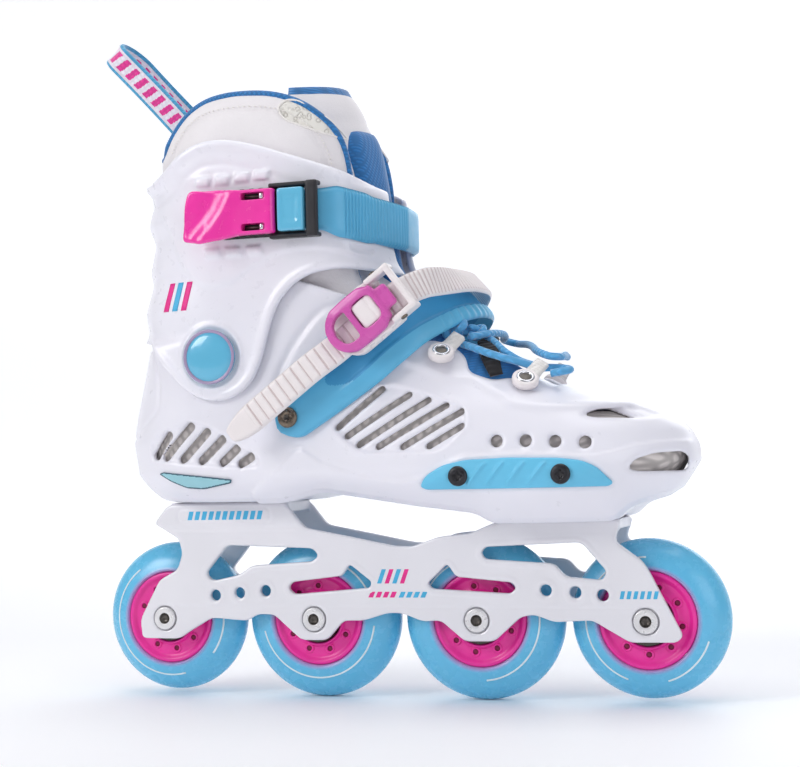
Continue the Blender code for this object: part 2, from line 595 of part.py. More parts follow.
def liner_solid(bm, extra, floor, top):
    inset = SHELL_WALL + 0.7 + extra
    rings = []
    for z in [floor] + [v for v in (106, 119, 125, 130, 135, 139, 150) if v > floor + 2]:
        drop = inset * 0.9 * float(smooth(z, 104.0, 120.0)) * (0.6 if z > 142 else 1.0)
        tuck = 3.0 * (1.0 - float(smooth(z, floor, floor + 9.0)))
        back = table(SHELL_BACK, z) + inset + tuck
        if z > 140:
            back += 2.5
        rings.append(ring(
            back, table(SHELL_FRONT, z + drop) - 0.85 * inset - tuck, HEEL_R - 2, TOE_R - 2,
            lambda x, z=z, d=drop, t=tuck: half_width(x, z + d * float(smooth(x, 0, 40))) - inset - t,
            lambda x, z=z: z))
    levels = [z for z in (165, 178, 190, 205, 225, 242, 256, 268, 278, 290) if z < top] + [top]
    stack(bm, rings + liner_rings(extra, levels))


LINER_SIDE = [(-130, 90), (150, 90), (150, 128), (84, 128), (60, 139), (36, 149), (18, 158), (4, 170),
              (-6, 186), (-9.5, 205), (-10, 238), (-13.5, 252), (-20, 262), (-31, 270.5), (-45, 275.5),
              (-62, 277), (-78, 275.4), (-89, 270.5), (-97, 262.5), (-102.5, 253), (-130, 250)]
bm = bmesh.new()
liner_solid(bm, 0.0, 100.6, 278)
liner = finish(bm, "liner", CREAM)
bm = bmesh.new()
prism(bm, LINER_SIDE, -70, 70)
mouth = [(74, 1), (71, 7), (62, 12), (44, 16), (20, 20), (0, 24), (-30, 22), (-30, -20), (0, -22),
         (20, -18), (44, -14), (62, -10), (71, -6)]
combine(liner, [finish(bm, "side", None)], "INTERSECT")
bm = bmesh.new()
liner_solid(bm, 5.0, 104.6, 290)
combine(liner, [finish(bm, "inside", None), cutter(prism, mouth, 124, 300, "z")])

bm = bmesh.new()
rings = []
for z, tuck in ((105.0, 1.6), (106.2, 0.6), (107.6, 0.4)):
    inset = SHELL_WALL + 5.7 + tuck + 0.4
    rings.append(ring(table(SHELL_BACK, z) + inset + 3, table(SHELL_FRONT, z) - inset - 6.0, HEEL_R - 4,
                      TOE_R - 4, lambda x, i=inset: half_width(x, 118.0) - i - 3.4,
                      lambda x, z=z: z, 6, 4))
stack(bm, rings)
finish(bm, "sole_pad", ((0.25, 0.30, 0.38), 0.9, 0.0))

TONGUE = ((124.5, 71.0, 9.0, 8.0), (130, 66.0, 12.0, 10.0), (138, 55.0, 16.0, 13.0), (148, 42.0, 19.0, 15.0),
          (160, 31.0, 22.0, 17.0), (175, 19.6, 24.0, 20.0), (190, 8.4, 26.4, 22.0), (205, 3.6, 28.0, 23.0),
          (225, -0.6, 29.5, 25.0), (240, -4.2, 30.5, 26.0), (256, -9.0, 31.0, 26.0), (270, -15.0, 30.0, 24.0),
          (283, -22.0, 25.0, 18.0))
bm = bmesh.new()
rings = []
for z, front, half, sag in TONGUE:
    n, loop = 8, []
    thick = 8.0 + 5.0 * (1.0 - float(smooth(z, 150, 190)))
    for k in range(n + 1):
        s = -1.0 + 2.0 * k / n
        loop.append((front - sag * s * s, s * half + centre_line(front), z - 2.0 * s * s))
    back = []
    for k in range(1, n):
        s = -1.0 + 2.0 * k / n
        t = thick * (1.0 - abs(s) ** 4)
        back.append((front - sag * s * s - t, s * half * 0.97 + centre_line(front), z - 2.0 * s * s))
    rings.append(loop + back[::-1])
vs = [[bm.verts.new(p) for p in r] for r in rings]
for a, b in zip(vs, vs[1:]):
    for k in range(len(a)):
        bm.faces.new((a[k], a[(k + 1) % len(a)], b[(k + 1) % len(a)], b[k]))
for r in (vs[0], vs[-1]):
    m = len(r)
    for k in range(8):
        quad = []
        for v in (r[k], r[k + 1], r[(m - k - 1) % m] if k < 7 else r[8], r[(m - k) % m]):
            if v not in quad:
                quad.append(v)
        if len(quad) > 2:
            bm.faces.new(quad)
finish(bm, "tongue", CREAM)


# ------------------------------------------------------------------ bands: straps, ladder, pull loop, lace
def band(bm, centres, across, outward, widths, thick):
    """Closed strip of rectangular section; every station has its own directions and width."""
    rings = []
    for c, a, o, w in zip(centres, across, outward, widths):
        c, a, o = Vector(c), Vector(a).normalized(), Vector(o).normalized()
        rings.append([c - a * w / 2, c + a * w / 2, c + a * w / 2 + o * thick, c - a * w / 2 + o * thick])
    vs = [[bm.verts.new(p) for p in r] for r in rings]
    for p, q in zip(vs, vs[1:]):
        for k in range(4):
            bm.faces.new((p[k], p[(k + 1) % 4], q[(k + 1) % 4], q[k]))
    bm.faces.new(vs[0])
    bm.faces.new(list(reversed(vs[-1])))


def tube(bm, path, r, seg=8):
    """Round cord along a path, closed at both ends."""
    path = [Vector(p) for p in path]
    up, rings = Vector((0.13, 0.21, 1.0)), []
    for i, p in enumerate(path):
        t = (path[min(i + 1, len(path) - 1)] - path[max(i - 1, 0)]).normalized()
        x = up.cross(t).normalized()
        y = t.cross(x)
        up = y
        rings.append([bm.verts.new(p + x * r * math.cos(2 * math.pi * k / seg)
                                   + y * r * math.sin(2 * math.pi * k / seg)) for k in range(seg)])
    for a, b in zip(rings, rings[1:]):
        for k in range(seg):
            bm.faces.new((a[k], a[(k + 1) % seg], b[(k + 1) % seg], b[k]))
    bm.faces.new(rings[0])
    bm.faces.new(list(reversed(rings[-1])))


def spline(points, per):
    """Smooth curve through points (Catmull-Rom)."""
    pts = [Vector(p) for p in points]
    pts = [2 * pts[0] - pts[1]] + pts + [2 * pts[-1] - pts[-2]]
    out = []
    for i in range(1, len(pts) - 2):
        a, b, c, d = pts[i - 1:i + 3]
        for k in range(per):
            t = k / per
            out.append(0.5 * (2 * b + (c - a) * t + (2 * a - 5 * b + 4 * c - d) * t * t
                              + (3 * b - a - 3 * c + d) * t ** 3))
    return out + [pts[-2]]


# cuff strap: from the buckle frame round the front to a screw on the inner side
def cuff_path(x, sgn):
    z = 220.6 - 0.16 * max(x + 20.0, 0.0)
    return x, sgn * (1.1 + max(cuff_y(x, z + d) for d in (-11.5, 0.0, 11.5))), z


stations = [cuff_path(x, -1) for x in (-25.5, -19, -12.5, -7, -2, 2.2, 6, 9.2)]
stations += [(13.2, -12.5, 215.2), (14.2, 0.0, 215.2), (13.2, 12.5, 215.2)]
stations += [cuff_path(x, 1) for x in (9.2, 6, 2.2, -2, -7, -12.5, -19, -28, -40, -52, -60)]
centres, across, outward = [], [], []
for i, p in enumerate(stations):
    a, b = Vector(stations[max(i - 1, 0)]), Vector(stations[min(i + 1, len(stations) - 1)])
    t = (b - a).normalized()
    o = Vector((t.y, -t.x, 0.0)).normalized()
    centres.append(Vector(p) + o * 0.5)
    outward.append(o)
    across.append((0.0, 0.0, 1.0))
bm = bmesh.new()
band(bm, centres, across, outward, [18.8] * 2 + [22.5] * 4 + [21] * 9 + [22] * 7, 2.5)
strap = finish(bm, "cuff_strap", SKY, (PIVOT[0], Y_CENTRE, PIVOT[1]))
combine(strap, [cutter(rod, (-52.0, 30, 220.5), (-52.0, 60, 220.5), 2.4, 10)])

bm = bmesh.new()
lathe(bm, [(0, 42.4), (2.0, 42.4), (2.0, 50.0), (4.8, 50.0), (4.2, 51.2), (0, 51.6)], -52.0, 220.5, 14)
finish(bm, "cuff_strap_screw", STEEL, (PIVOT[0], Y_CENTRE, PIVOT[1]))

# cuff buckle: black base on the cuff, pink lever, blue slider
BASE_Y = -46.3
bm = bmesh.new()
box(bm, (-66, BASE_Y - 2.8, 209.4), (-26.2, BASE_Y, 231.6))
base = finish(bm, "cuff_buckle_base", BLACK, (PIVOT[0], Y_CENTRE, PIVOT[1]))
parts = []
for z in (208.0, 230.7):
    bm = bmesh.new()
    box(bm, (-42, BASE_Y - 5.4, z), (-18.6, BASE_Y - 1.0, z + 2.0))
    parts.append(finish(bm, "arm", None))
bm = bmesh.new()
box(bm, (-24.0, BASE_Y - 7.4, 208.0), (-18.6, BASE_Y - 4.4, 232.7))
parts.append(finish(bm, "bridge", None))
bm = bmesh.new()
rod(bm, (-52.0, BASE_Y - 1.0, 220.5), (-52.0, -41.6, 220.5), 2.0, 10)
parts.append(finish(bm, "stud", None))
combine(base, parts, "UNION")

HINGE = (-41.0, BASE_Y - 6.2)      # upright hinge of the cuff buckle lever
LEVER = [(-79.3, 231.4), (-64.2, 231.3), (-56.0, 230.2), (-36.0, 230.2), (-36.0, 210.5), (-56.0, 210.4),
         (-62.3, 209.0), (-75.9, 207.5), (-82.6, 208.9), (-83.1, 211.0), (-81.1, 225.9)]
SECTION = [(HINGE[0] + 2.4 * math.cos(a), HINGE[1] + 2.4 * math.sin(a))
           for a in (math.radians(-90 + 30 * k) for k in range(7))]
SECTION += [(-55, BASE_Y - 3.8), (-61, BASE_Y - 5.4), (-72, BASE_Y - 6.2), (-90, BASE_Y - 5.6),
            (-90, BASE_Y - 8.2), (-72, BASE_Y - 9.2), (-58, BASE_Y - 8.6)]
bm = bmesh.new()
prism(bm, round_corners(LEVER, 2.5, 2), -70.0, -40.0)
lever = finish(bm, "cuff_buckle_lever", PINK, (HINGE[0], HINGE[1] + Y_CENTRE, 220.5))
bm = bmesh.new()
prism(bm, SECTION, 200.0, 240.0, "z")
combine(lever, [finish(bm, "section", None)], "INTERSECT")
combine(lever, [cutter(box, (-53.0, -80, z - 1.6), (-43.8, -30, z + 1.6)) for z in (213.4, 227.2)])

bm = bmesh.new()
prism(bm, round_corners([(-36.9, 210.8), (-24.6, 210.8), (-24.6, 229.8), (-36.9, 229.8)], 1.0, 2),
      BASE_Y - 8.9, BASE_Y - 3.4)
slider = finish(bm, "cuff_buckle_slider", SKY, (PIVOT[0], Y_CENTRE, PIVOT[1]))

# instep strap: padded underlay, toothed ladder, ratchet buckle
DX, DZ = STRAP_DIR


def on_strap(s, t):
    """Strap coordinates (along, across) at the buckle to (x, z)."""
    return BUCKLE[0] + s * DX - t * DZ, BUCKLE[1] + s * DZ + t * DX


PAD_HALF = [(-41.5, -43.4, 123.4), (-31, -44.0, 132.6), (-18, -44.2, 143.6), (-6, -43.8, 154.6),
            (6, -42.2, 165.0), (18, -36.2, 173.4), (28, -24.6, 179.0), (33.5, -11.0, 181.4)]
PAD_WIDTH = [17, 22, 27, 32, 33, 30, 28, 27, 27, 27, 28, 30, 33, 32, 27, 22, 17]
points = PAD_HALF + [(35.0, 0.0, 182.0)] + [(x, -y, z) for x, y, z in PAD_HALF[::-1]]


def strap_frame(pts):
    """Directions across and out of a strap that wraps the boot."""
    across, outward = [], []
    for i, p in enumerate(pts):
        t = (Vector(pts[min(i + 1, len(pts) - 1)]) - Vector(pts[max(i - 1, 0)])).normalized()
        w = smooth(abs(p[1]), 8.0, 40.0)
        lean = Vector((0.75 * (1 - w), math.copysign(w, p[1]), 0.66 * (1 - w)))
        o = (lean - t * lean.dot(t)).normalized()
        outward.append(o)
        across.append(o.cross(t))
    return across, outward


across, outward = strap_frame(points)
bm = bmesh.new()
band(bm, [Vector(p) + o * 0.2 for p, o in zip(points, outward)], across, outward, PAD_WIDTH, 2.4)
pad = finish(bm, "instep_pad", BLUE)
combine(pad, [cutter(rod, (-37, sgn * 30, 129.0), (-37, sgn * 70, 129.0), 2.4, 10) for sgn in (-1, 1)])
for side, sgn in (("outer", -1), ("inner", 1)):
    bm = bmesh.new()
    lathe(bm, [(0, sgn * 38.6), (2.0, sgn * 38.6), (2.0, sgn * 47.0), (4.6, sgn * 47.0),
               (4.0, sgn * 48.2), (0, sgn * 48.7)], -37.0, 129.0, 14)
    finish(bm, "instep_rivet_" + side, STEEL)

LADDER = []
for s in (-78.5, -66, -54, -42, -30, -18, -6, 8, 20):
    x, z = on_strap(s, -2.0)
    LADDER.append((x, -53.3 + 3.85 * float(smooth(s, -34, -16)), z))
LADDER += [(25.2, -43.0, 185.0), (31.0, -33.0, 187.0), (36.4, -19.0, 188.0), (38.8, -6, 188.2),
           (38.2, 7, 188.0), (34.6, 21.0, 186.6), (28.0, 33.6, 182.6), (18.8, 43.4, 177.0), (6.0, 48.6, 168.0)]
across, outward = strap_frame(LADDER)
bm = bmesh.new()
band(bm, LADDER, across, outward, [11.0] + [13.2] * 17, 2.0)
finish(bm, "instep_ladder", CREAM)

bm = bmesh.new()
plate = [on_strap(s, t) for s, t in ((-13, -12), (-13, 12), (15.5, 12), (15.5, -12))]
prism(bm, round_corners(plate, 3.0, 2), -49.0, -47.6)
buckle = finish(bm, "instep_buckle", WHITE)
parts = []
for t in (-10.1, 10.1):
    wall = [on_strap(s, t + d) for s, d in ((-6, -1.1), (-6, 1.1), (20, 1.1), (20, -1.1))]
    bm = bmesh.new()
    prism(bm, wall, -55.4, -48.2)
    parts.append(finish(bm, "cheek", None))
combine(buckle, parts, "UNION")

PIN = on_strap(16.5, 0.0)
PIN_Y = -55.6                      # the lever swings about this line, just inside its outer face
NOSE = [on_strap(s, t) for s, t in (
    (-16.2, 3.2), (-14.2, 7.6), (-9.4, 10.6), (-6.8, 10.6), (-6.8, 8.7), (17.8, 8.7), (18.6, 5), (18.6, -5),
    (17.8, -8.7), (-6.8, -8.7), (-6.8, -10.6), (-9.4, -10.6), (-14.2, -7.6), (-16.2, -3.2))]
bm = bmesh.new()
prism(bm, round_corners(NOSE, 1.2, 2), -57.6, -53.6)
nose = finish(bm, "instep_lever", MAUVE, (PIN[0], PIN_Y + Y_CENTRE, PIN[1]))
window = round_corners([on_strap(s, t) for s, t in ((-0.3, -6.9), (-0.3, 6.9), (12.4, 6.9), (12.4, -6.9))],
                       3.0, 2)
lower = round_corners([on_strap(s, t) for s, t in ((-12.2, -5.0), (-12.2, 5.0), (-3.8, 6.4), (-3.8, -6.4))],
                      3.0, 2)
combine(nose, [cutter(prism, window, -70, -45), cutter(prism, lower, -70, -45)])
bm = bmesh.new()
prism(bm, round_corners([on_strap(s, t) for s, t in ((0.2, -6.4), (0.2, 6.4), (11.9, 6.4), (11.9, -6.4))],
                        2.8, 2), -57.0, -54.0)
BUTTON_AT = on_strap(6.0, 0.0)
finish(bm, "instep_button", WHITE, (BUTTON_AT[0], PIN_Y + Y_CENTRE, BUTTON_AT[1]))

# lace loops, lace, pull loop
for side, sgn in (("outer", -1), ("inner", 1)):
    for end, (x, y, z) in (("rear", (31.4, 33.0, 154.0)), ("front", (67.0, 27.4, 141.2))):
        c = centre_line(x)
        a = Vector((x, sgn * (y + 2.4) + c, z + 1.2))
        top = Vector((x + 5.0, sgn * (y - 5.0) + c, z + 6.6))
        o = Vector((0.25, sgn * 0.62, 0.74)).normalized()
        along = (top - a).normalized()
        bm = bmesh.new()
        band(bm, [a - along * 5.0, a, top], [o.cross(along)] * 3, [o] * 3, [8.6, 9.4, 7.4], 1.6)
        loop = finish(bm, "lace_loop_%s_%s" % (side, end), WHITE)
        d = o * 6.0
        hole = top - along * 2.9
        combine(loop, [cutter(rod, hole - d, hole + d, 1.7, 10)])
LACE = [(42.0, -27.0, 162.2), (48.0, -17, 164.0), (50.5, -3, 164.6), (48.5, 11, 164.2), (45.5, 21, 163.4),
        (51, 24, 161.6), (58, 13, 160.4), (64, -2, 158.4), (69, -14, 155.4), (75.5, -20.0, 152.8),
        (80, -16, 152.4), (79, -4, 153.4), (77, 8, 154.4), (76, 17, 154.0)]
bm = bmesh.new()
tube(bm, spline(LACE, 3), 1.7, 8)
finish(bm, "lace", SKY)

along = Vector((-0.68, 0.0, 0.733)).normalized()
flat = Vector((0.733, 0.0, 0.68)).normalized()
root = Vector((-99.5, 0.0, 268.5))
centres, outs = [], []
for k in range(-1, 5):
    centres.append(root + along * (50.0 * k / 4) + Vector((0, -12.5 + 1.5 * math.sin(math.pi * k / 4), 0)))
    outs.append(Vector((0, -1, 0)))
for k in range(1, 6):
    a = math.pi * k / 6
    centres.append(root + along * (50.0 + 8.5 * math.sin(a)) + Vector((0, -12.5 * math.cos(a), 0)))
    outs.append((along * math.sin(a) + Vector((0, -math.cos(a), 0))).normalized())
for k in range(4, -2, -1):
    centres.append(root + along * (50.0 * k / 4) + Vector((0, 12.5 - 1.5 * math.sin(math.pi * k / 4), 0)))
    outs.append(Vector((0, 1, 0)))
bm = bmesh.new()
band(bm, centres, [flat] * len(centres), outs, [12.4] * len(centres), 1.1)
finish(bm, "pull_loop", SKY)
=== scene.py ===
"""Looks of an inline skate: moulded shell and cuff, padded liner, straps, buckles, wheels.

Lengths in this script are millimetres in the frame of the CAD model, whose middle plane is at
y = 0 here.  place() turns them into metres of the scene.
"""

import math

import bpy
import numpy as np
from mathutils import Matrix, Vector
from mathutils.bvhtree import BVHTree


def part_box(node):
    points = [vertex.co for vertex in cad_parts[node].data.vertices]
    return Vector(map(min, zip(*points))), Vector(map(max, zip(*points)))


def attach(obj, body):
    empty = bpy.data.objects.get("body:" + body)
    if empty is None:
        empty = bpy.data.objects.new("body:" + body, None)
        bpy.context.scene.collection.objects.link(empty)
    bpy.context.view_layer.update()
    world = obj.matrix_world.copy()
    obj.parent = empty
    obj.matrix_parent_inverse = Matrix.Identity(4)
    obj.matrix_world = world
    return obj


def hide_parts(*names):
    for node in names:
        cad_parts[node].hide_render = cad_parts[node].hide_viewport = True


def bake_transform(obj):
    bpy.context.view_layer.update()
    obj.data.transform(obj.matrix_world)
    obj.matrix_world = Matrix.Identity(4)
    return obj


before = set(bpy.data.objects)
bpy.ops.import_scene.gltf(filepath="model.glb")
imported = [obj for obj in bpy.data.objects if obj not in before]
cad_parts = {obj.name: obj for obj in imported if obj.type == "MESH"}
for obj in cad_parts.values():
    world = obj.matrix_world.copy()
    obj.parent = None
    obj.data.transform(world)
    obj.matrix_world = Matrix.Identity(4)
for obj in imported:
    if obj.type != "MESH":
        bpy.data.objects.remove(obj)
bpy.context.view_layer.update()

MM = 0.001
frame_low, frame_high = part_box("frame")
MID_Y = 0.5 * (frame_low.y + frame_high.y) / MM          # middle plane of the rails


def cad_centre(node):
    """Middle of a CAD part in the millimetres of this script."""
    low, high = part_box(node)
    c = (low + high) / 2 / MM
    return Vector((c.x, c.y - MID_Y, c.z))


AXLES = [cad_centre("wheel%d_hub" % (i + 1)) for i in range(4)]
WHEEL_R = [(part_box("wheel%d_tyre" % (i + 1))[1].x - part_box("wheel%d_tyre" % (i + 1))[0].x) / MM / 2
           for i in range(4)]
PIVOT = cad_centre("pivot_cap_outer")


def place(points):
    """Millimetres of this script to metres of the scene."""
    p = np.array(points, float).reshape(-1, 3).copy()
    p[:, 1] += MID_Y
    return p * MM


# ------------------------------------------------------------------ materials
def srgb(r, g, b):
    """Linear colour from the eight-bit values a picture shows."""
    out = []
    for c in (r, g, b):
        c /= 255.0
        out.append(c / 12.92 if c <= 0.04045 else ((c + 0.055) / 1.055) ** 2.4)
    return tuple(out) + (1.0,)


def shade(colour, k):
    """A colour k times as bright."""
    return tuple(min(1.0, c * k) for c in colour[:3]) + (1.0,)


class Look:
    """A Principled material whose colour, roughness and bump vary over the surface."""

    def __init__(self, name, colour, rough, metal=0.0):
        self.mat = bpy.data.materials.new(name)
        self.mat.use_nodes = True
        self.tree = self.mat.node_tree
        self.bsdf = self.tree.nodes["Principled BSDF"]
        self.bsdf.inputs["Metallic"].default_value = metal
        self.colour = colour
        self.rough = rough
        self.coords = self.tree.nodes.new("ShaderNodeTexCoord")
        self.mat.diffuse_color = colour
        self.height = None

    def put(self, **values):
        for key, value in values.items():
            self.bsdf.inputs[key.replace("_", " ")].default_value = value
        return self

    def noise(self, scale, detail=3.0, distortion=0.0):
        node = self.tree.nodes.new("ShaderNodeTexNoise")
        node.inputs["Scale"].default_value = scale
        node.inputs["Detail"].default_value = detail
        node.inputs["Distortion"].default_value = distortion
        self.tree.links.new(self.coords.outputs["Object"], node.inputs["Vector"])
        return node.outputs["Fac"]

    def cells(self, scale):
        node = self.tree.nodes.new("ShaderNodeTexVoronoi")
        node.inputs["Scale"].default_value = scale
        self.tree.links.new(self.coords.outputs["Object"], node.inputs["Vector"])
        return node.outputs["Distance"]

    def wave(self, scale, turn):
        turned = self.tree.nodes.new("ShaderNodeMapping")
        turned.inputs["Rotation"].default_value = turn
        self.tree.links.new(self.coords.outputs["Object"], turned.inputs["Vector"])
        node = self.tree.nodes.new("ShaderNodeTexWave")
        node.inputs["Scale"].default_value = scale
        self.tree.links.new(turned.outputs["Vector"], node.inputs["Vector"])
        return node.outputs["Fac"]

    def maths(self, operation, a, b=0.0):
        node = self.tree.nodes.new("ShaderNodeMath")
        node.operation = operation
        for socket, value in zip(node.inputs, (a, b)):
            if isinstance(value, (int, float)):
                socket.default_value = value
            else:
                self.tree.links.new(value, socket)
        return node.outputs[0]

    def ramp(self, value, low, high, to_low=0.0, to_high=1.0):
        node = self.tree.nodes.new("ShaderNodeMapRange")
        for key, number in (("From Min", low), ("From Max", high), ("To Min", to_low), ("To Max", to_high)):
            node.inputs[key].default_value = number
        self.tree.links.new(value, node.inputs["Value"])
        return node.outputs["Result"]

    def mix(self, factor, a, b):
        node = self.tree.nodes.new("ShaderNodeMix")
        node.data_type = "RGBA"
        self.tree.links.new(factor, node.inputs["Factor"])
        for socket, value in ((node.inputs["A"], a), (node.inputs["B"], b)):
            if isinstance(value, tuple):
                socket.default_value = value
            else:
                self.tree.links.new(value, socket)
        return node.outputs["Result"]

    def finish(self, spread=0.05, patch=60.0, grain=None, grain_scale=2600.0, wear=0.25, tint=None):
        """Broad colour patches, fine scuffs and a grain; the usual end of every look."""
        broad = self.ramp(self.noise(patch, 2.0), 0.3, 0.7)
        colour = self.mix(broad, shade(self.colour, 1.0 - spread), shade(self.colour, 1.0 + spread))
        # tint lays a second colour over the surface by a mask: painted shade in the hollows of cloth and
        # pressed rings, and the painted light of the hub on the tyre
        if tint is not None:
            colour = self.mix(tint[0], colour, tint[1])
        scuffs = self.ramp(self.noise(900.0, 6.0, 1.5), 0.62, 0.74, 0.0, wear)
        colour = self.mix(scuffs, colour, shade(self.colour, 0.86))
        self.tree.links.new(colour, self.bsdf.inputs["Base Color"])
        uneven = self.ramp(self.noise(240.0, 4.0), 0.3, 0.7, max(self.rough - 0.07, 0.03), self.rough + 0.07)
        self.tree.links.new(uneven, self.bsdf.inputs["Roughness"])
        height = self.height if self.height is not None else self.noise(grain_scale, 2.0)
        bump = self.tree.nodes.new("ShaderNodeBump")
        bump.inputs["Strength"].default_value = 0.35 if grain is None else grain
        bump.inputs["Distance"].default_value = 0.0001 if self.height is None else 0.0004
        self.tree.links.new(height, bump.inputs["Height"])
        self.tree.links.new(bump.outputs["Normal"], self.bsdf.inputs["Normal"])
        return self.mat


def woven(name, colour, rough, pitch, sheen=0.4, depth=0.8, dark=0.55):
    """Cloth: two crossed sets of threads, with painted shade darkening the hollows between them."""
    look = Look(name, colour, rough).put(Sheen_Weight=sheen, Sheen_Roughness=0.5)
    scale = 1000.0 / pitch / 20.0 * math.pi
    a = look.wave(scale, (0.0, 0.6, 0.8))
    b = look.wave(scale, (0.0, -0.9, 0.8))
    look.height = look.maths("MULTIPLY", a, b)
    # painted shade: where the weave's height is low, between the threads, the colour is darkened by the
    # factor dark
    gap_shade = look.ramp(look.height, 0.0, 0.5, 0.75, 0.0)
    return look.finish(0.07, 80.0, depth, wear=0.1, tint=(gap_shade, shade(colour, dark)))


WHITE = srgb(236, 235, 243)
ROYAL = srgb(34, 122, 190)
PINK = srgb(242, 50, 164)
MAUVE = srgb(208, 86, 172)

shell_white = Look("shell_white", WHITE, 0.34).put(
    Coat_Weight=0.25, Coat_Roughness=0.2, Subsurface_Weight=0.06,
    Subsurface_Radius=(0.004, 0.004, 0.005)).finish(0.012, 30.0, 0.25, wear=0.02)
cuff_white = Look("cuff_white", srgb(238, 237, 245), 0.32).put(
    Coat_Weight=0.3, Coat_Roughness=0.2, Subsurface_Weight=0.06,
    Subsurface_Radius=(0.004, 0.004, 0.005)).finish(0.012, 34.0, 0.25, wear=0.02)
frame_paint = Look("frame_paint", srgb(232, 231, 236), 0.36, 0.1).put(
    Coat_Weight=0.35, Coat_Roughness=0.25).finish(0.015, 40.0, 0.3, 4200.0, wear=0.04)
guard_blue = Look("guard_blue", srgb(104, 196, 232), 0.42).put(
    Coat_Weight=0.1).finish(0.04, 60.0, 0.4, 3200.0, wear=0.2)
strap_blue = Look("strap_blue", srgb(90, 178, 218), 0.4).put(
    Coat_Weight=0.15).finish(0.04, 70.0, 0.4, 3000.0, wear=0.2)
# darker copy of the strap blue: painted shade for the recessed middle of the instep carrier
pad_recess_shade = Look("pad_recess_shade", srgb(58, 148, 198), 0.5).finish(0.05, 70.0, 0.4, 3000.0, wear=0.2)
pivot_blue = Look("pivot_blue", srgb(98, 186, 220), 0.18).put(
    Coat_Weight=0.6, Coat_Roughness=0.08).finish(0.03, 60.0, 0.1, wear=0.1)
pink_gloss = Look("pink_gloss", PINK, 0.24).put(
    Coat_Weight=0.35, Coat_Roughness=0.12).finish(0.04, 70.0, 0.15, wear=0.2)
mauve_gloss = Look("mauve_gloss", MAUVE, 0.3).put(Coat_Weight=0.3).finish(0.04, 80.0, 0.2, wear=0.2)
hub_pink = Look("hub_pink", srgb(238, 44, 158), 0.34).put(Coat_Weight=0.2).finish(0.05, 90.0, 0.2, wear=0.2)
# half-bright copy of the hub pink: painted shade for the openings of the hub's small rings
hub_dark = Look("hub_dark", srgb(120, 16, 62), 0.5).finish(0.08, 200.0, 0.3)
ladder_white = Look("ladder_white", srgb(238, 231, 231), 0.42).finish(0.02, 80.0, 0.4, 3000.0, wear=0.3)
# darker copy of the ladder white: painted shade for the strap's grooves
ladder_groove_shade = Look("ladder_groove_shade", srgb(216, 202, 202), 0.6).finish(0.05, 300.0, 0.3)
black_plastic = Look("black_plastic", srgb(30, 28, 34), 0.42).finish(0.2, 120.0, 0.4, 2600.0, wear=0.5)
screw_black = Look("screw_black", srgb(52, 52, 56), 0.32, 0.6).finish(0.25, 260.0, 0.4, wear=0.6)
steel = Look("steel", srgb(214, 214, 218), 0.24, 1.0).finish(0.06, 300.0, 0.3, 5000.0, wear=0.5)
axle_white = Look("axle_white", srgb(228, 227, 228), 0.3, 0.35).put(
    Coat_Weight=0.3).finish(0.03, 300.0, 0.3, wear=0.3)
steel_dark = Look("steel_dark", srgb(92, 88, 84), 0.34, 0.9).finish(0.2, 500.0, 0.5, 3000.0, wear=0.6)
aged_silver = Look("aged_silver", srgb(122, 110, 98), 0.3, 0.95).finish(0.35, 420.0, 0.5, 2600.0, wear=0.8)
rim_grey = Look("rim_grey", srgb(166, 148, 182), 0.3).put(Coat_Weight=0.3).finish(0.05, 200.0, 0.3)
inlay_teal = Look("inlay_teal", srgb(150, 203, 214), 0.35).put(Coat_Weight=0.3).finish(0.03, 120.0, 0.3)
inlay_edge = Look("inlay_edge", srgb(52, 92, 110), 0.5).finish(0.1, 200.0, 0.3)
line_white = Look("line_white", srgb(226, 240, 246), 0.4).finish(0.03, 300.0, 0.2)
mark_blue = Look("mark_blue", srgb(70, 178, 222), 0.4).finish(0.05, 300.0, 0.2)
mark_pink = Look("mark_pink", srgb(232, 40, 140), 0.4).finish(0.05, 300.0, 0.2)
stitch_white = Look("stitch_white", srgb(236, 232, 228), 0.8).put(Sheen_Weight=0.3).finish(0.05, 900.0, 0.5)
royal_cloth = woven("royal_cloth", ROYAL, 0.75, 0.6, depth=0.3)
lining_blue = woven("lining_blue", srgb(36, 120, 188), 0.8, 0.6, depth=0.3, dark=0.7)
black_mesh = woven("black_mesh", srgb(26, 24, 28), 0.85, 1.2, sheen=0.2)
grey_mesh = woven("grey_mesh", srgb(226, 219, 214), 0.85, 1.6, sheen=0.2, depth=1.0, dark=0.5)
footbed_cloth = woven("footbed_cloth", srgb(70, 84, 104), 0.85, 1.1)
tape_white = woven("tape_white", srgb(236, 233, 230), 0.7, 1.3, sheen=0.2, depth=0.7, dark=0.82)
webbing_white = woven("webbing_white", srgb(236, 230, 242), 0.7, 0.8, depth=0.5, dark=0.85)
webbing_blue = woven("webbing_blue", srgb(72, 170, 216), 0.7, 0.8, depth=0.6, dark=0.7)
webbing_pink = woven("webbing_pink", srgb(232, 42, 150), 0.7, 0.8, depth=0.6, dark=0.75)
lace_blue = woven("lace_blue", srgb(88, 176, 232), 0.65, 1.0, sheen=0.5, depth=1.0, dark=0.74)


def leather_look():
    """Soft lining leather: pores over creases."""
    look = Look("liner_leather", srgb(233, 229, 231), 0.55).put(Sheen_Weight=0.15)
    pores = look.cells(1500.0)
    creases = look.noise(500.0, 4.0, 0.6)
    look.height = look.maths("ADD", look.maths("MULTIPLY", pores, 0.5), creases)
    return look.finish(0.02, 50.0, 0.35, wear=0.25)


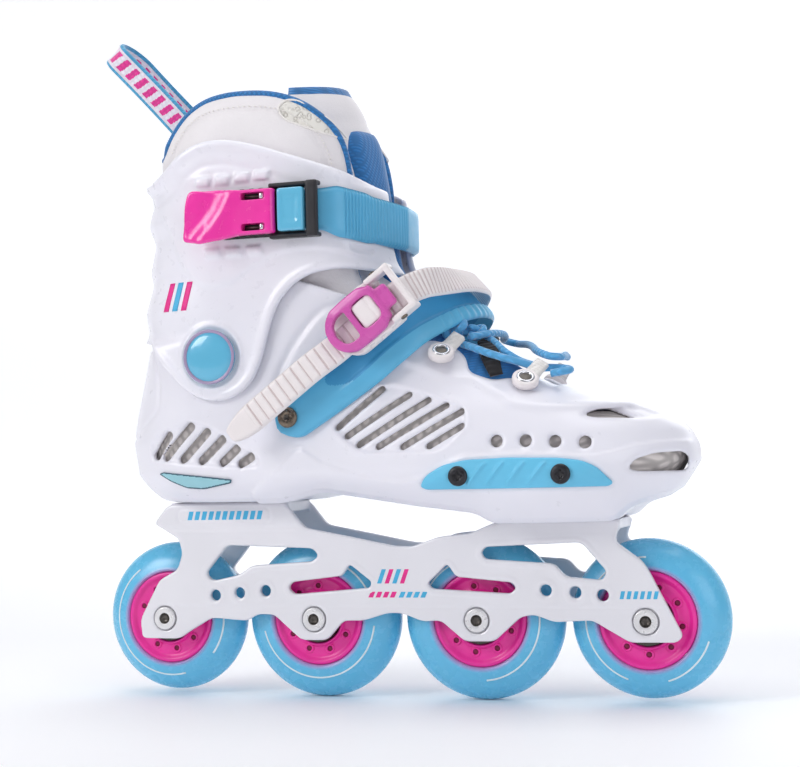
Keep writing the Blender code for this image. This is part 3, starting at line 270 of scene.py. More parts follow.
def perforated_look():
    """White patch with rings pressed into it, painted darker along the rings as shade."""
    look = Look("perforated_patch", srgb(232, 229, 222), 0.6)
    rings = look.maths("ABSOLUTE", look.maths("SUBTRACT", look.cells(330.0), 0.33))
    look.height = look.ramp(rings, 0.0, 0.14, 0.0, 1.0)
    # painted shade: the bottoms of the pressed rings are tinted darker
    lines = look.ramp(rings, 0.0, 0.09, 0.6, 0.0)
    return look.finish(0.03, 90.0, 0.9, wear=0.2, tint=(lines, srgb(190, 184, 172)))


def tyre_look():
    """Cast polyurethane; near the hub a painted pink tint stands for the pink core showing through, painted
    light.
    """
    look = Look("tyre_blue", srgb(102, 192, 230), 0.26).put(
        Coat_Weight=0.2, Coat_Roughness=0.15, Subsurface_Weight=0.35,
        Subsurface_Radius=(0.004, 0.008, 0.010))
    split = look.tree.nodes.new("ShaderNodeSeparateXYZ")
    look.tree.links.new(look.coords.outputs["Object"], split.inputs[0])
    square = look.maths("ADD", look.maths("POWER", split.outputs["X"], 2.0),
                        look.maths("POWER", split.outputs["Z"], 2.0))
    # painted light: the pink core as seen through the clear tyre, painted into its colour near the hub
    painted_hub_glow = look.ramp(look.maths("SQRT", square), 0.0213, 0.0238, 0.75, 0.0)
    return look.finish(0.012, 25.0, 0.05, wear=0.0, tint=(painted_hub_glow, srgb(214, 120, 196)))


leather = leather_look()
perforated = perforated_look()
tyre_blue = tyre_look()


# ------------------------------------------------------------------ pieces
LINER_BEND = ((PIVOT.x, 0.0, 150.0), (PIVOT.x, 0.0, 196.0))   # a line through the cuff's pivot; piece() works out its two ends for pieces without a body and uses them no further


SET_BACK = 8.0                      # how far the front of the ankle stands behind its CAD solids
SET_BACK_X = (-16.0, 14.0)          # the shift grows over this length and this height
SET_BACK_Z = (180.0, 200.0)


def set_back(v):
    """Moves the front of the ankle (cuff, strap, liner and tongue) back, as the photo has it.

    The CAD solids and the collision pieces keep the place further forward.
    """
    inward = ramp(v[:, 0], *SET_BACK_X) * ramp(v[:, 2], *SET_BACK_Z)
    return v - np.outer(SET_BACK * inward, (1.0, 0.0, 0.0))


def piece(name, verts, faces, looks, body, node=None, which=None, slot=None, origin=None, flat=False):
    """A mesh of the skate.  which gives each face's place in looks; body None leaves it in place, attached to
    no body.
    """
    v = np.asarray(verts, float)
    if origin is not None:
        v = v - np.array(origin, float)
        points = v * MM
    else:
        points = place(set_back(v) if body in (None, "cuff") else v)
    mesh = bpy.data.meshes.new(name)
    face_list = faces.tolist() if isinstance(faces, np.ndarray) else faces
    mesh.from_pydata(points.tolist(), [], face_list)
    for look in looks:
        mesh.materials.append(look)
    if which is not None:
        mesh.polygons.foreach_set("material_index", np.asarray(which, np.int32))
    if not flat:
        mesh.polygons.foreach_set("use_smooth", np.ones(len(mesh.polygons), bool))
    mesh.update()
    ob = bpy.data.objects.new(name, mesh)
    bpy.context.scene.collection.objects.link(ob)
    if origin is not None:
        ob.location = Vector(place([origin])[0])
    if body is None:
        start, end = (Vector(place([p])[0]) for p in LINER_BEND)
        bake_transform(ob)
    else:
        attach(ob, body)
    nodes = [] if node is None else [node] if isinstance(node, str) else list(node)
    if nodes:
        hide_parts(*nodes)
    if slot or nodes:
        slot or nodes[0]
    return ob


def joined(parts):
    """Meshes (verts, faces, look index) put together in one."""
    verts, faces, which = [], [], []
    base = 0
    for v, f, m in parts:
        v = np.asarray(v, float).reshape(-1, 3)
        verts.append(v)
        faces += [[int(i) + base for i in face] for face in f]
        which += [m] * len(f) if np.isscalar(m) else list(m)
        base += len(v)
    return np.vstack(verts), faces, which


def slab_faces(count, columns, row, base):
    """Faces of a closed sheet whose top vertex is i * row + k; the one below it is base further on."""
    faces = []
    for i in range(count - 1):
        for k in range(columns):
            a, b = i * row + k, (i + 1) * row + k
            faces.append([a, a + 1, b + 1, b])
            faces.append([base + a, base + b, base + b + 1, base + a + 1])
        for k in (0, columns):
            a, b = i * row + k, (i + 1) * row + k
            quad = [a, b, base + b, base + a]
            faces.append(quad if k == 0 else quad[::-1])
    for i in (0, count - 1):
        for k in range(columns):
            a = i * row + k
            quad = [a, base + a, base + a + 1, a + 1]
            faces.append(quad if i == 0 else quad[::-1])
    return faces


# ------------------------------------------------------------------ distance fields and surface nets
def step01(t):
    """Smooth step from 0 to 1."""
    t = np.clip(t, 0.0, 1.0)
    return t * t * (3.0 - 2.0 * t)


def ramp(x, lo, hi):
    """Smooth step from lo to hi."""
    return step01((x - lo) / (hi - lo))


def bell(v, width):
    """1 where v is nought, fading to either side."""
    return np.exp(-(v / width) ** 2)


def smax(a, b, r):
    """Maximum of two fields with a rounded edge of about radius r."""
    h = np.clip(0.5 + 0.5 * (a - b) / r, 0.0, 1.0)
    return b + (a - b) * h + r * h * (1.0 - h) * 0.5


def smin(a, b, r):
    """Minimum of two fields with a rounded corner."""
    return -smax(-a, -b, r)


def axes(lo, hi, step):
    """Grid lines along x, y and z."""
    return [np.arange(a, b + step, step) for a, b in zip(lo, hi)]


def sd_poly(x, z, points):
    """Signed distance to a closed outline, negative inside."""
    x, z = np.broadcast_arrays(x, z)
    best = np.full(x.shape, 1e9)
    inside = np.zeros(x.shape, bool)
    n = len(points)
    for i in range(n):
        (ax, az), (bx, bz) = points[i], points[(i + 1) % n]
        ex, ez = bx - ax, bz - az
        px, pz = x - ax, z - az
        t = np.clip((px * ex + pz * ez) / max(ex * ex + ez * ez, 1e-12), 0, 1)
        best = np.minimum(best, (px - ex * t) ** 2 + (pz - ez * t) ** 2)
        if az != bz:
            crossing = ((az > z) != (bz > z)) & (x < ex * (z - az) / ez + ax)
            inside ^= crossing
    return np.where(inside, -1.0, 1.0) * np.sqrt(best)


def d_line(x, z, points):
    """Distance to an open line of straight runs."""
    x, z = np.broadcast_arrays(x, z)
    best = np.full(x.shape, 1e9)
    for (ax, az), (bx, bz) in zip(points, points[1:]):
        ex, ez = bx - ax, bz - az
        px, pz = x - ax, z - az
        t = np.clip((px * ex + pz * ez) / max(ex * ex + ez * ez, 1e-12), 0, 1)
        best = np.minimum(best, (px - ex * t) ** 2 + (pz - ez * t) ** 2)
    return np.sqrt(best)


def capsules(x, z, runs, width):
    """Distance to a set of round-ended slots."""
    best = None
    for a, b in runs:
        d = d_line(x, z, [a, b]) - 0.5 * width
        best = d if best is None else np.minimum(best, d)
    return best


def rounded(points, radius, steps):
    """A closed outline with its corners turned into arcs."""
    out = []
    n = len(points)
    for i in range(n):
        p, a, b = (Vector(points[j]) for j in (i, i - 1, (i + 1) % n))
        da, db = a - p, b - p
        cut = min(radius, 0.45 * da.length, 0.45 * db.length)
        pa, pb = p + da.normalized() * cut, p + db.normalized() * cut
        for k in range(steps + 1):
            t = k / steps
            q = (1 - t) ** 2 * pa + 2 * t * (1 - t) * p + t * t * pb
            out.append((q.x, q.y))
    return out


def smoothed(points, per):
    """A smooth curve through the points (Catmull-Rom), any number of coordinates."""
    p = [np.array(q, float) for q in points]
    p = [2 * p[0] - p[1]] + p + [2 * p[-1] - p[-2]]
    out = []
    for a, b, c, d in zip(p, p[1:], p[2:], p[3:]):
        for k in range(per):
            t = k / per
            out.append(0.5 * (2 * b + (c - a) * t + (2 * a - 5 * b + 4 * c - d) * t * t
                              + (3 * b - a - 3 * c + d) * t ** 3))
    out.append(p[-2])
    return out


def normal_length(field, step):
    """How steep a field is, to turn it into a distance."""
    gx, gy, gz = np.gradient(field, step)
    return np.sqrt(gx * gx + gy * gy + gz * gz)


CORNERS = [(i, j, k) for i in (0, 1) for j in (0, 1) for k in (0, 1)]
EDGES = [(a, b) for a in CORNERS for b in CORNERS if a < b and sum(p != q for p, q in zip(a, b)) == 1]


def sample(field, g):
    """Trilinear value of a grid at fractional places g."""
    top = np.array(field.shape) - 2
    i = np.clip(np.floor(g).astype(int), 0, top)
    f = g - i
    out = np.zeros(len(g))
    for c in CORNERS:
        w = np.prod([f[:, a] if c[a] else 1.0 - f[:, a] for a in range(3)], axis=0)
        out += w * field[i[:, 0] + c[0], i[:, 1] + c[1], i[:, 2] + c[2]]
    return out


def nets(field, lo, step):
    """The surface where a field changes sign, as vertices and quads."""
    field = np.asarray(field, np.float32)
    neg = field < 0
    count = sum(neg[i:i + neg.shape[0] - 1, j:j + neg.shape[1] - 1, k:k + neg.shape[2] - 1].astype(np.int8)
                for i, j, k in CORNERS)
    active = (count > 0) & (count < 8)
    index = np.full(active.shape, -1, np.int64)
    cells = np.argwhere(active)
    index[active] = np.arange(len(cells))
    total = np.zeros((len(cells), 3))
    hits = np.zeros(len(cells))
    for a, b in EDGES:
        fa = field[cells[:, 0] + a[0], cells[:, 1] + a[1], cells[:, 2] + a[2]]
        fb = field[cells[:, 0] + b[0], cells[:, 1] + b[1], cells[:, 2] + b[2]]
        cross = (fa < 0) != (fb < 0)
        t = np.where(cross, fa / np.where(cross, fa - fb, 1.0), 0.0)
        total += np.where(cross[:, None], np.array(a) + t[:, None] * (np.array(b) - np.array(a)), 0.0)
        hits += cross
    g = cells + total / hits[:, None]
    slopes = np.gradient(field)

    def settle(g):
        value = sample(field, g)
        n = np.stack([sample(s, g) for s in slopes], axis=1)
        move = -value[:, None] * n / np.maximum((n * n).sum(1), 1e-6)[:, None]
        size = np.linalg.norm(move, axis=1)
        return g + move * np.minimum(1.0, 0.4 / np.maximum(size, 1e-9))[:, None]
    for _ in range(2):
        g = settle(g)
    quads = []
    for axis in range(3):
        u, v = (axis + 1) % 3, (axis + 2) % 3
        first = [slice(None)] * 3
        second = [slice(None)] * 3
        first[axis], second[axis] = slice(0, -1), slice(1, None)
        a, b = neg[tuple(first)], neg[tuple(second)]
        at = np.argwhere(a != b)
        out = a[at[:, 0], at[:, 1], at[:, 2]]
        keep = (at[:, u] > 0) & (at[:, v] > 0) & (at[:, u] < neg.shape[u] - 1) & (at[:, v] < neg.shape[v] - 1)
        at, out = at[keep], out[keep]
        eu, ev = np.eye(3, dtype=int)[u], np.eye(3, dtype=int)[v]
        ring = [index[tuple((at - eu - ev).T)], index[tuple((at - ev).T)],
                index[tuple(at.T)], index[tuple((at - eu).T)]]
        q = np.stack(ring, axis=1)
        q[~out] = q[~out][:, ::-1]
        quads.append(q)
    quads = np.vstack(quads)
    # even out the mesh: each vertex moves towards its neighbours, then back to the surface
    ends = np.vstack([quads[:, [k, (k + 1) % 4]] for k in range(4)])
    share = np.bincount(ends.ravel(), minlength=len(g)).astype(float)
    mean = np.empty_like(g)
    for axis in range(3):
        mean[:, axis] = sum(np.bincount(ends[:, k], weights=g[ends[:, 1 - k], axis], minlength=len(g))
                            for k in (0, 1)) / np.maximum(share, 1.0)
    used = share > 0
    g[used] = settle(g[used] + 0.5 * (mean[used] - g[used]))
    verts = np.asarray(lo, float) + g * step
    return verts, quads


def centres(verts, faces):
    """Middles of faces."""
    return verts[faces].mean(axis=1)


# ------------------------------------------------------------------ forms shared with the CAD model
ROUND = 2.25
HEEL_R, TOE_R = 42.0, 46.0
SHELL_WALL, CUFF_WALL, LINER_GAP = 4.0, 3.4, 0.7
WIDTH_X = (-131, -105, -75, -36, 0, 40, 75, 105, 137)
WIDTH = {
    106: (33, 37, 38.5, 41.5, 45, 48, 48.5, 44, 36),
    118: (33, 37.5, 38.5, 42, 45, 47, 46.5, 41.5, 34),
    130: (33, 37.5, 38.5, 42, 44, 44, 40, 34, 28),
    140: (33, 37.5, 38.5, 40, 42, 38, 31, 25, 21),
    150: (33, 37.5, 38.5, 38.5, 40, 34, 27, 22, 18),
    165: (33, 37, 38, 38, 37.5, 32, 26, 20, 16),
    195: (32, 36, 37.5, 37.5, 36, 30, 25, 20, 16)}
SOLE = ((-131, 91.5), (-49, 91.5), (-40, 93.0), (-27, 96.4), (18, 89.4), (45, 86.0), (51, 81.5),
        (104, 81.5), (109, 87.5), (126, 92.2), (137, 96.8))
SHELL_BACK = ((91.5, -113), (95, -121.5), (103.7, -129), (119.7, -131.6), (131.9, -129.4),
              (147, -125.6), (164.3, -121.6), (164.8, -111.5), (200, -109))
SHELL_FRONT = ((88, 124), (96.8, 135.5), (105, 136.8), (113, 136.4), (116.5, 134.5), (121.2, 132),
               (126, 124.5), (130.1, 115.7), (135.7, 102), (138.5, 88), (141.7, 77), (150, 62),
               (160, 49), (175, 32), (190, 20), (200, 14))
SIDE_START = 106.0                    # below this height the shell turns in towards the sole
CAVITY_FLOOR = 100.0


def oval(width, e):
    """Distance from the middle plane of a rounded upright form, from its half width and end factor."""
    return float(width * max(0.0, 1.0 - min(e, 1.0) ** ROUND) ** (1.0 / ROUND))


def curve(points, v, soft):
    """Linear table with its corners softened."""
    keys, values = zip(*points)
    grid = np.arange(keys[0] - 30.0, keys[-1] + 30.0, 0.25)
    row = np.interp(grid, keys, values)
    reach = int(max(soft * 3 / 0.25, 1))
    kernel = np.exp(-0.5 * (np.arange(-reach, reach + 1) * 0.25 / soft) ** 2)
    row = np.convolve(np.pad(row, reach, "edge"), kernel / kernel.sum(), "valid")
    return np.interp(v, grid, row)


def half_width(x, z):
    """Half width of the hard boot on a grid of x and z."""
    levels = sorted(WIDTH)
    rows = np.array([curve(tuple(zip(WIDTH_X, WIDTH[k])), x, 9.0) for k in levels])
    out = np.empty((len(x), len(z)))
    for i in range(len(x)):
        out[i] = curve(tuple(zip(levels, rows[:, i])), z, 3.0)
    return out


def centre_line(x):
    """The boot leans inwards towards the toe."""
    return 4.0 * ramp(x, 30.0, 130.0)


def ends(x, back, front, back_r, front_r):
    """0 along the straight sides, rising to 1 at the rounded back and front."""
    return np.maximum(np.maximum((back + back_r - x) / back_r, (x - front + front_r) / front_r), 0.0)


def shape_field(y, middle, width, e, step):
    """Rounded upright form from its half width and its end factor, as an approximate distance."""
    side = np.abs(y[None, :, None] - middle[:, None, None]) / width[:, None, :]
    g = (side ** ROUND + e[:, None, :] ** ROUND) ** (1.0 / ROUND) - 1.0
    return g / np.maximum(normal_length(g, step), 1.0 / 60.0)


def upright_field(x, y, z, step, half, back, front, r):
    """Distance to an upright form round the middle plane: half, back and front are its rows along z."""
    width = np.broadcast_to(half[None, :], (len(x), len(z)))
    e = ends(x[:, None], back[None, :], front[None, :], r, r)
    return shape_field(y, np.zeros(len(x)), width, e, step)


def boot_field(x, y, z, step):
    """Distance to the outer form of the hard boot."""
    sole = curve(SOLE, x, 2.5)[:, None]
    h = np.clip((z[None, :] - sole) / (SIDE_START - sole), 0.0, 1.0)
    below = z[None, :] < SIDE_START
    back = np.where(below, -113.0 - 17.0 * h ** 0.55, curve(SHELL_BACK, z, 0.8)[None, :])
    front = np.where(below, 126.0 + 10.8 * h ** 0.55, curve(SHELL_FRONT, z, 1.6)[None, :])
    width = half_width(x, np.maximum(z, SIDE_START)) * np.where(below, 1.0 - 0.26 * (1.0 - h) ** 2, 1.0)
    e = ends(x[:, None], back, front, HEEL_R, TOE_R)
    d = shape_field(y, centre_line(x), width, e, step)
    return smax(d, (sole - z[None, :])[:, None, :], 3.0)


RIM = [(-140, 192), (-38, 192), (-12, 183), (6, 171), (19.8, 160.5), (27.5, 161.2), (35.6, 157.4),
       (40.7, 153.0), (42.2, 146.5), (52.4, 142.6), (61, 144.2), (67.5, 144.8), (74.5, 141.0),
       (78.0, 139.6), (90, 150), (90, 215), (-140, 215)]
THROAT = [(79.5, 1.5), (77, 8), (70, 14), (58, 18), (42, 21), (20, 25), (0, 29), (-30, 33), (-60, 33),
          (-60, -33), (-30, -33), (0, -27), (20, -23), (42, -18), (58, -15), (70, -10), (77, -5)]
MID_REGION = [(-19.5, 125.4), (8, 142.6), (42.9, 131.6), (44.6, 123.6), (32.8, 112.2), (-4.7, 112.2)]
MID_SLOTS = [((-16.5, 124.9), (-9.9, 140.1)), ((-15.3, 123.9), (5.0, 140.2)), ((-11.2, 119.9), (17.2, 137.2)),
             ((-5.6, 115.9), (26.0, 134.6)), ((3.6, 114.9), (34.2, 132.0)), ((15.0, 114.6), (41.3, 129.2)),
             ((27.0, 114.6), (41.7, 122.8))]
HEEL_REGION = [(-111.5, 113.0), (-111.5, 120.2), (-100.5, 125.9), (-88.9, 129.4), (-78.6, 126.5),
               (-66.0, 118.2), (-53.6, 111.2), (-54.6, 107.2), (-64.5, 107.0), (-110, 111.0)]
HEEL_GAPS = [((-108.2, 113.6), (-100.6, 122.6)), ((-102.4, 112.8), (-88.9, 126.4)),
             ((-93.2, 111.6), (-80.8, 123.6)), ((-83.5, 110.8), (-73.0, 120.2)),
             ((-73.0, 109.8), (-65.8, 115.8)), ((-63.6, 109.0), (-58.6, 112.0))]
PANEL_LINE = [(-60, 96), (-46, 106), (-36, 114.8), (-32, 115.3), (-23, 109.3), (-6, 103.3), (13.8, 100.1),
              (22.7, 101.8), (33.5, 107.1), (43.2, 110.7), (71, 111.6), (96.2, 109.6), (106.7, 111.5),
              (114.7, 113.8), (126.6, 115.1), (145, 115.2)]
RIDGE = [(13.6, 153.1), (23.3, 149.4), (34.9, 144.7), (45.1, 143.1), (59.2, 136), (63.3, 132.6),
         (80.6, 130.8), (109.8, 131.4)]
ANKLE_GROOVE = [(-48, 132), (-44.9, 146.6), (-38.3, 159.9), (-29.7, 171.1), (-22.4, 177.4), (-15.2, 179),
                (-9, 183.5)]
HEEL_SEAM = [(-112.6, 163.8), (-107.6, 152), (-106.3, 143.3), (-107.6, 134.3), (-117.9, 126.5), (-129, 121)]
TOE_VENT = [(91.7, 126.4), (96.9, 128.6), (108.4, 129.2), (115.6, 127.8), (121.5, 125.6), (113.8, 124.4),
            (96.8, 125.0)]
TOE_HOLE = [(110.5, 103.0), (113.6, 107), (120.9, 109.3), (131.2, 109.8), (133.5, 107.4), (132.6, 103),
            (131, 101.5), (114.3, 101.8)]
GUARD_OUTLINE = [(22.8, 97.2), (26, 102.0), (34, 106.4), (44, 108.4), (62, 109), (84, 108.4), (93, 107.2),
                 (99, 104.4), (105.4, 97.4), (103.5, 95.9), (25.5, 95.9)]
ROUND_VENTS = [(57.0, 116.0), (69.4, 115.9), (81.7, 115.3), (94.0, 114.6)]
GUARD_SCREWS = [cad_centre("guard_screw_outer_rear"), cad_centre("guard_screw_outer_front")]


def shell_piece():
    """Hard boot: hollow shell with its ribs, slots, vents and open throat."""
    step = 1.0
    lo, hi = (-136.0, -54.0, 78.0), (142.0, 54.0, 199.0)
    x, y, z = axes(lo, hi, step)
    outer = boot_field(x, y, z, step)
    px, pz = x[:, None], z[None, :]
    detail = np.zeros((len(x), len(z)))
    panel = sd_poly(px, pz, PANEL_LINE + [(150, 70), (-60, 70)])
    detail -= 0.9 * ramp(-panel, -0.3, 1.2)
    ridge = d_line(px, pz, smoothed(RIDGE, 4))
    detail -= 1.1 * bell(ridge, 2.0)
    rim = sd_poly(px, pz, rounded(RIM, 3.0, 4))
    detail -= 0.7 * bell(rim, 2.4) * (px > -30)
    detail += 0.9 * bell(d_line(px, pz, smoothed(ANKLE_GROOVE, 4)), 1.5)
    detail += 0.8 * bell(d_line(px, pz, smoothed(HEEL_SEAM, 4)), 0.9)
    mid = sd_poly(px, pz, rounded(MID_REGION, 5.0, 4))
    detail += 1.2 * ramp(-mid, -0.2, 1.3) - 0.35 * bell(mid - 0.8, 1.0)
    heel = sd_poly(px, pz, rounded(HEEL_REGION, 4.0, 4))
    detail += 1.2 * ramp(-heel, -0.2, 1.3)
    toe = sd_poly(px, pz, rounded(TOE_VENT, 2.0, 4))
    detail += 0.9 * ramp(-toe + 1.8, 0.0, 2.2)
    hole = sd_poly(px, pz, rounded(TOE_HOLE, 2.0, 4))
    detail += 0.8 * ramp(-hole + 1.6, 0.0, 2.0)
    guard = sd_poly(px, pz, rounded(GUARD_OUTLINE, 2.0, 4))
    detail += 0.5 * ramp(-guard + 1.0, 0.0, 1.2)
    for cx, cz in ROUND_VENTS:
        r = np.hypot(px - cx, pz - cz)
        detail += 0.7 * ramp(4.0 - r, 0.0, 0.9)
    side = np.abs(y[None, :, None] - centre_line(x)[:, None, None])
    flank = ramp(side, 6.0, 16.0)
    skin = outer + detail[:, None, :] * flank
    cavity = smax(outer + SHELL_WALL, (CAVITY_FLOOR - z)[None, None, :], 3.0)
    d = smax(skin, -cavity, 0.8)
    d = smax(d, -rim[:, None, :], 1.6)
    throat = sd_poly(x[:, None], y[None, :], rounded(THROAT, 5.0, 4))
    d = smax(d, -np.maximum(throat[:, :, None], (128.0 - z)[None, None, :]), 1.6)
    cut = capsules(px, pz, MID_SLOTS[1:], 2.9)
    cut = np.minimum(cut, capsules(px, pz, HEEL_GAPS, 4.2))
    cut = np.minimum(cut, toe)
    for cx, cz in ROUND_VENTS:
        cut = np.minimum(cut, np.hypot(px - cx, pz - cz) - 2.7)
    cut = np.maximum(cut[:, None, :], 22.0 - side)
    cut = np.minimum(cut, hole[:, None, :])
    d = smax(d, -cut, 0.5)
    for axis_x, axis_z, r in [(PIVOT.x, PIVOT.z, 5.4), (-37.0, 129.0, 2.4)]:
        pin = np.hypot(px - axis_x, pz - axis_z) - r
        d = np.maximum(d, -np.maximum(pin[:, None, :], 25.0 - side))
    verts, quads = nets(d, lo, step)
    return piece("boot_shell", verts, quads, [shell_white], "boot", "shell")


CUFF_BACK = ((134, -131), (164.7, -127.6), (166.8, -120), (180.7, -122), (194, -117.7), (199.3, -119.3),
             (212.5, -115.8), (221.3, -119.3), (229, -116.8), (234.3, -116.4), (241.8, -120.7), (262, -119))
CUFF_FRONT = ((134, 20), (192, 16.5), (205, 13), (230, 10.5), (245, 7.0), (262, 3.0))
CUFF_HALF = ((134, 42.6), (200, 42.9), (225, 45.2), (245, 46.4), (262, 46.4))
CUFF_R = 44.0
CUFF_SIDE = [(-126, 166.8), (-108.6, 166.0), (-105.5, 160), (-98, 151.7), (-88.4, 142.4), (-79.8, 137.9),
             (-69.1, 137.6), (-60.5, 141.4), (-55.1, 147), (-50.7, 156.6), (-47.2, 170), (-42.8, 180.6),
             (-36.3, 188), (-27.9, 192.6), (-15.5, 194.6), (-0.3, 193.7), (30, 190.5), (30, 227),
             (8.3, 231.1), (-9.8, 237.6), (-32.6, 245.7), (-51.4, 252.4), (-66, 255.7), (-78.6, 255.0),
             (-89.1, 250.2), (-98.6, 242.5), (-108, 239.2), (-126, 242.3)]
CUFF_LINE = [(-101, 226), (-96.5, 217), (-93.5, 209), (-88.3, 199.8), (-82, 192.4), (-74.5, 189.5),
             (-64.9, 191), (-54.1, 197.7), (-41.4, 202.8), (-24.8, 204.2), (-4.5, 200.5), (17, 194.5)]


def lump(px, pz, cx, cz, wide, high, lean=0.25):
    """A small moulded block: one inside its rounded outline, fading at the edge."""
    u = px - cx - lean * (pz - cz)
    d = np.maximum(np.abs(u) - wide / 2, np.abs(pz - cz) - high / 2)
    return ramp(-d, -0.4, 1.0)


def cuff_piece():
    """Hinged cuff: open in front, with moulded blocks, grooves and a raised edge."""
    step = 1.0
    lo, hi = (-134.0, -52.0, 132.0), (24.0, 52.0, 262.0)
    x, y, z = axes(lo, hi, step)
    outer = upright_field(x, y, z, step, curve(CUFF_HALF, z, 3.0), curve(CUFF_BACK, z, 1.5),
                          curve(CUFF_FRONT, z, 2.0), CUFF_R)
    px, pz = x[:, None], z[None, :]
    detail = np.zeros((len(x), len(z)))
    line = smoothed(CUFF_LINE, 4)
    above = sd_poly(px, pz, [(p[0], p[1]) for p in line] + [(30, 280), (-140, 280), (-140, 226)])
    detail += 1.1 * ramp(above, -0.8, 1.6) * ramp(px, -108, -92)
    for k in range(4):
        detail -= 1.5 * lump(px, pz, -76.0 + 9.6 * k, 236.4 + 0.4 * k, 7.6, 4.6)
    for k in range(3):
        detail -= 1.5 * lump(px, pz, -73.0 + 10.2 * k, 204.6 - 0.2 * k, 8.0, 4.6, -0.2)
    for cx, cz in ((0.0, 234.0), (-1.0, 203.6)):
        detail += 1.2 * ramp(1.0 - capsules(px, pz, [((cx - 4.5, cz), (cx + 4.5, cz - 1.4))], 2.6), 0.4, 1.4)
    side_edge = sd_poly(px, pz, rounded(CUFF_SIDE, 6.0, 4))
    detail -= 0.8 * bell(side_edge + 2.2, 1.8)
    cap = np.hypot(px - PIVOT.x, pz - PIVOT.z)
    detail -= 0.8 * bell(cap - 14.6, 1.1)
    detail += 0.35 * ramp(14.0 - cap, 0.0, 1.0)
    detail += 0.5 * bell(side_edge + 11.0, 1.3) * (pz > 228)
    side = np.abs(y)[None, :, None]
    skin = outer + detail[:, None, :] * ramp(side, 12.0, 22.0)
    d = smax(skin, -(outer + CUFF_WALL), 0.9)
    d = smax(d, side_edge[:, None, :], 1.7)
    gap = np.maximum(-4.0 - x[:, None, None], side - 13.0)
    d = smax(d, -gap, 1.6)
    pin = np.maximum((cap - 5.4)[:, None, :], 25.0 - side)
    d = np.maximum(d, -pin)
    verts, quads = nets(d, lo, step)
    piece("ankle_cuff", verts, quads, [cuff_white], "cuff", "cuff")
    return verts, quads


# ------------------------------------------------------------------ liner and tongue
LINER_BACK = ((165, -106.4), (192, -104.5), (205, -110.5), (230, -112), (243, -112.4), (256, -111.5),
              (266, -107), (278, -100))
LINER_FRONT = ((165, 36), (178, 24.6), (193, 14), (205, 7.8), (225, 3.6), (240, 1.0), (256, -2.5), (278, -8))
LINER_HALF = ((165, 31.4), (188, 32.0), (203, 37.6), (225, 41.0), (242, 42.4), (256, 43.0), (268, 41.5),
              (278, 39.0))
LINER_R = 42.0
LINER_SIDE = [(-130, 90), (150, 90), (150, 128), (84, 128), (60, 139), (36, 149), (18, 158), (4, 170),
              (-6, 186), (-9.5, 205), (-10, 238), (-13.5, 252), (-20, 262), (-31, 270.5), (-45, 275.5),
              (-62, 277), (-78, 275.4), (-89, 270.5), (-97, 262.5), (-102.5, 253), (-130, 250)]
MOUTH = [(74, 1), (71, 7), (62, 12), (44, 16), (20, 20), (0, 24), (-30, 22), (-30, -20), (0, -22),
         (20, -18), (44, -14), (62, -10), (71, -6)]
LINER_WALL = 5.0
PATCH = [(-41, 268.3), (-37.5, 272.1), (-32, 271.6), (-17.9, 262), (-10.5, 253.1), (-21.4, 256.1),
         (-37.7, 262.8)]


def liner_piece():
    """Soft inner boot: collar, mesh foot, blue lining and a stitched patch."""
    step = 1.2
    lo, hi = (-127.0, -48.0, 97.0), (134.0, 48.0, 281.0)
    x, y, z = axes(lo, hi, step)
    low = boot_field(x, y, z, step) + SHELL_WALL + LINER_GAP
    high = upright_field(x, y, z, step, curve(LINER_HALF, z, 3.0), curve(LINER_BACK, z, 3.0),
                         curve(LINER_FRONT, z, 3.0), LINER_R)
    w = ramp(z, 150.0, 166.0)[None, None, :]
    outer = low * (1.0 - w) + high * w
    px, pz = x[:, None], z[None, :]
    side_edge = sd_poly(px, pz, rounded(LINER_SIDE, 4.0, 4))
    seam = 0.8 * bell(side_edge + 7.5, 0.9) * (pz > 200)
    inner = smax(outer + LINER_WALL, (104.6 - z)[None, None, :], 3.0)
    d = smax(outer + seam[:, None, :], -inner, 1.5)
    d = smax(d, side_edge[:, None, :], 3.0)
    d = smax(d, (100.6 - z)[None, None, :], 2.0)
    mouth = sd_poly(x[:, None], y[None, :], rounded(MOUTH, 4.0, 4))
    d = smax(d, -np.maximum(mouth[:, :, None], (124.0 - z)[None, None, :]), 3.0)
    verts, quads = nets(d, lo, step)
    c = centres(verts, quads)
    depth = sample(outer, (c - np.array(lo)) / step)
    patch = sd_poly(c[:, 0], c[:, 2], rounded(PATCH, 2.0, 3)) < 0
    inside = depth < -2.6
    throat = (c[:, 0] > 12) & (c[:, 2] > 142)
    which = np.where(c[:, 2] > 176, 0, 1)
    which = np.where(throat | inside, 2, which)
    which = np.where(patch & ~inside, 3, which)
    ob = piece("liner_boot", verts, quads, [leather, grey_mesh, lining_blue, perforated], None,
               "liner", which)
    return ob


def tube(path, r, seg, taper=0.0):
    """Round cord along a path, closed at both ends."""
    path = [Vector(p) for p in path]
    up = Vector((0.13, 0.21, 1.0))
    verts, faces = [], []
    for i, p in enumerate(path):
        t = (path[min(i + 1, len(path) - 1)] - path[max(i - 1, 0)]).normalized()
        a = up.cross(t)
        if a.length < 1e-6:
            a = Vector((1, 0, 0)).cross(t)
        a.normalize()
        b = t.cross(a)
        up = b
        s = i / max(len(path) - 1, 1)
        k = r * (1.0 - taper * abs(2 * s - 1) ** 6)
        verts += [p + a * k * math.cos(2 * math.pi * n / seg) + b * k * math.sin(2 * math.pi * n / seg)
                  for n in range(seg)]
    for i in range(len(path) - 1):
        for n in range(seg):
            m = (n + 1) % seg
            faces.append([i * seg + n, i * seg + m, (i + 1) * seg + m, (i + 1) * seg + n])
    faces.append(list(range(seg))[::-1])
    faces.append([(len(path) - 1) * seg + n for n in range(seg)])
    return np.array([tuple(v) for v in verts]), faces


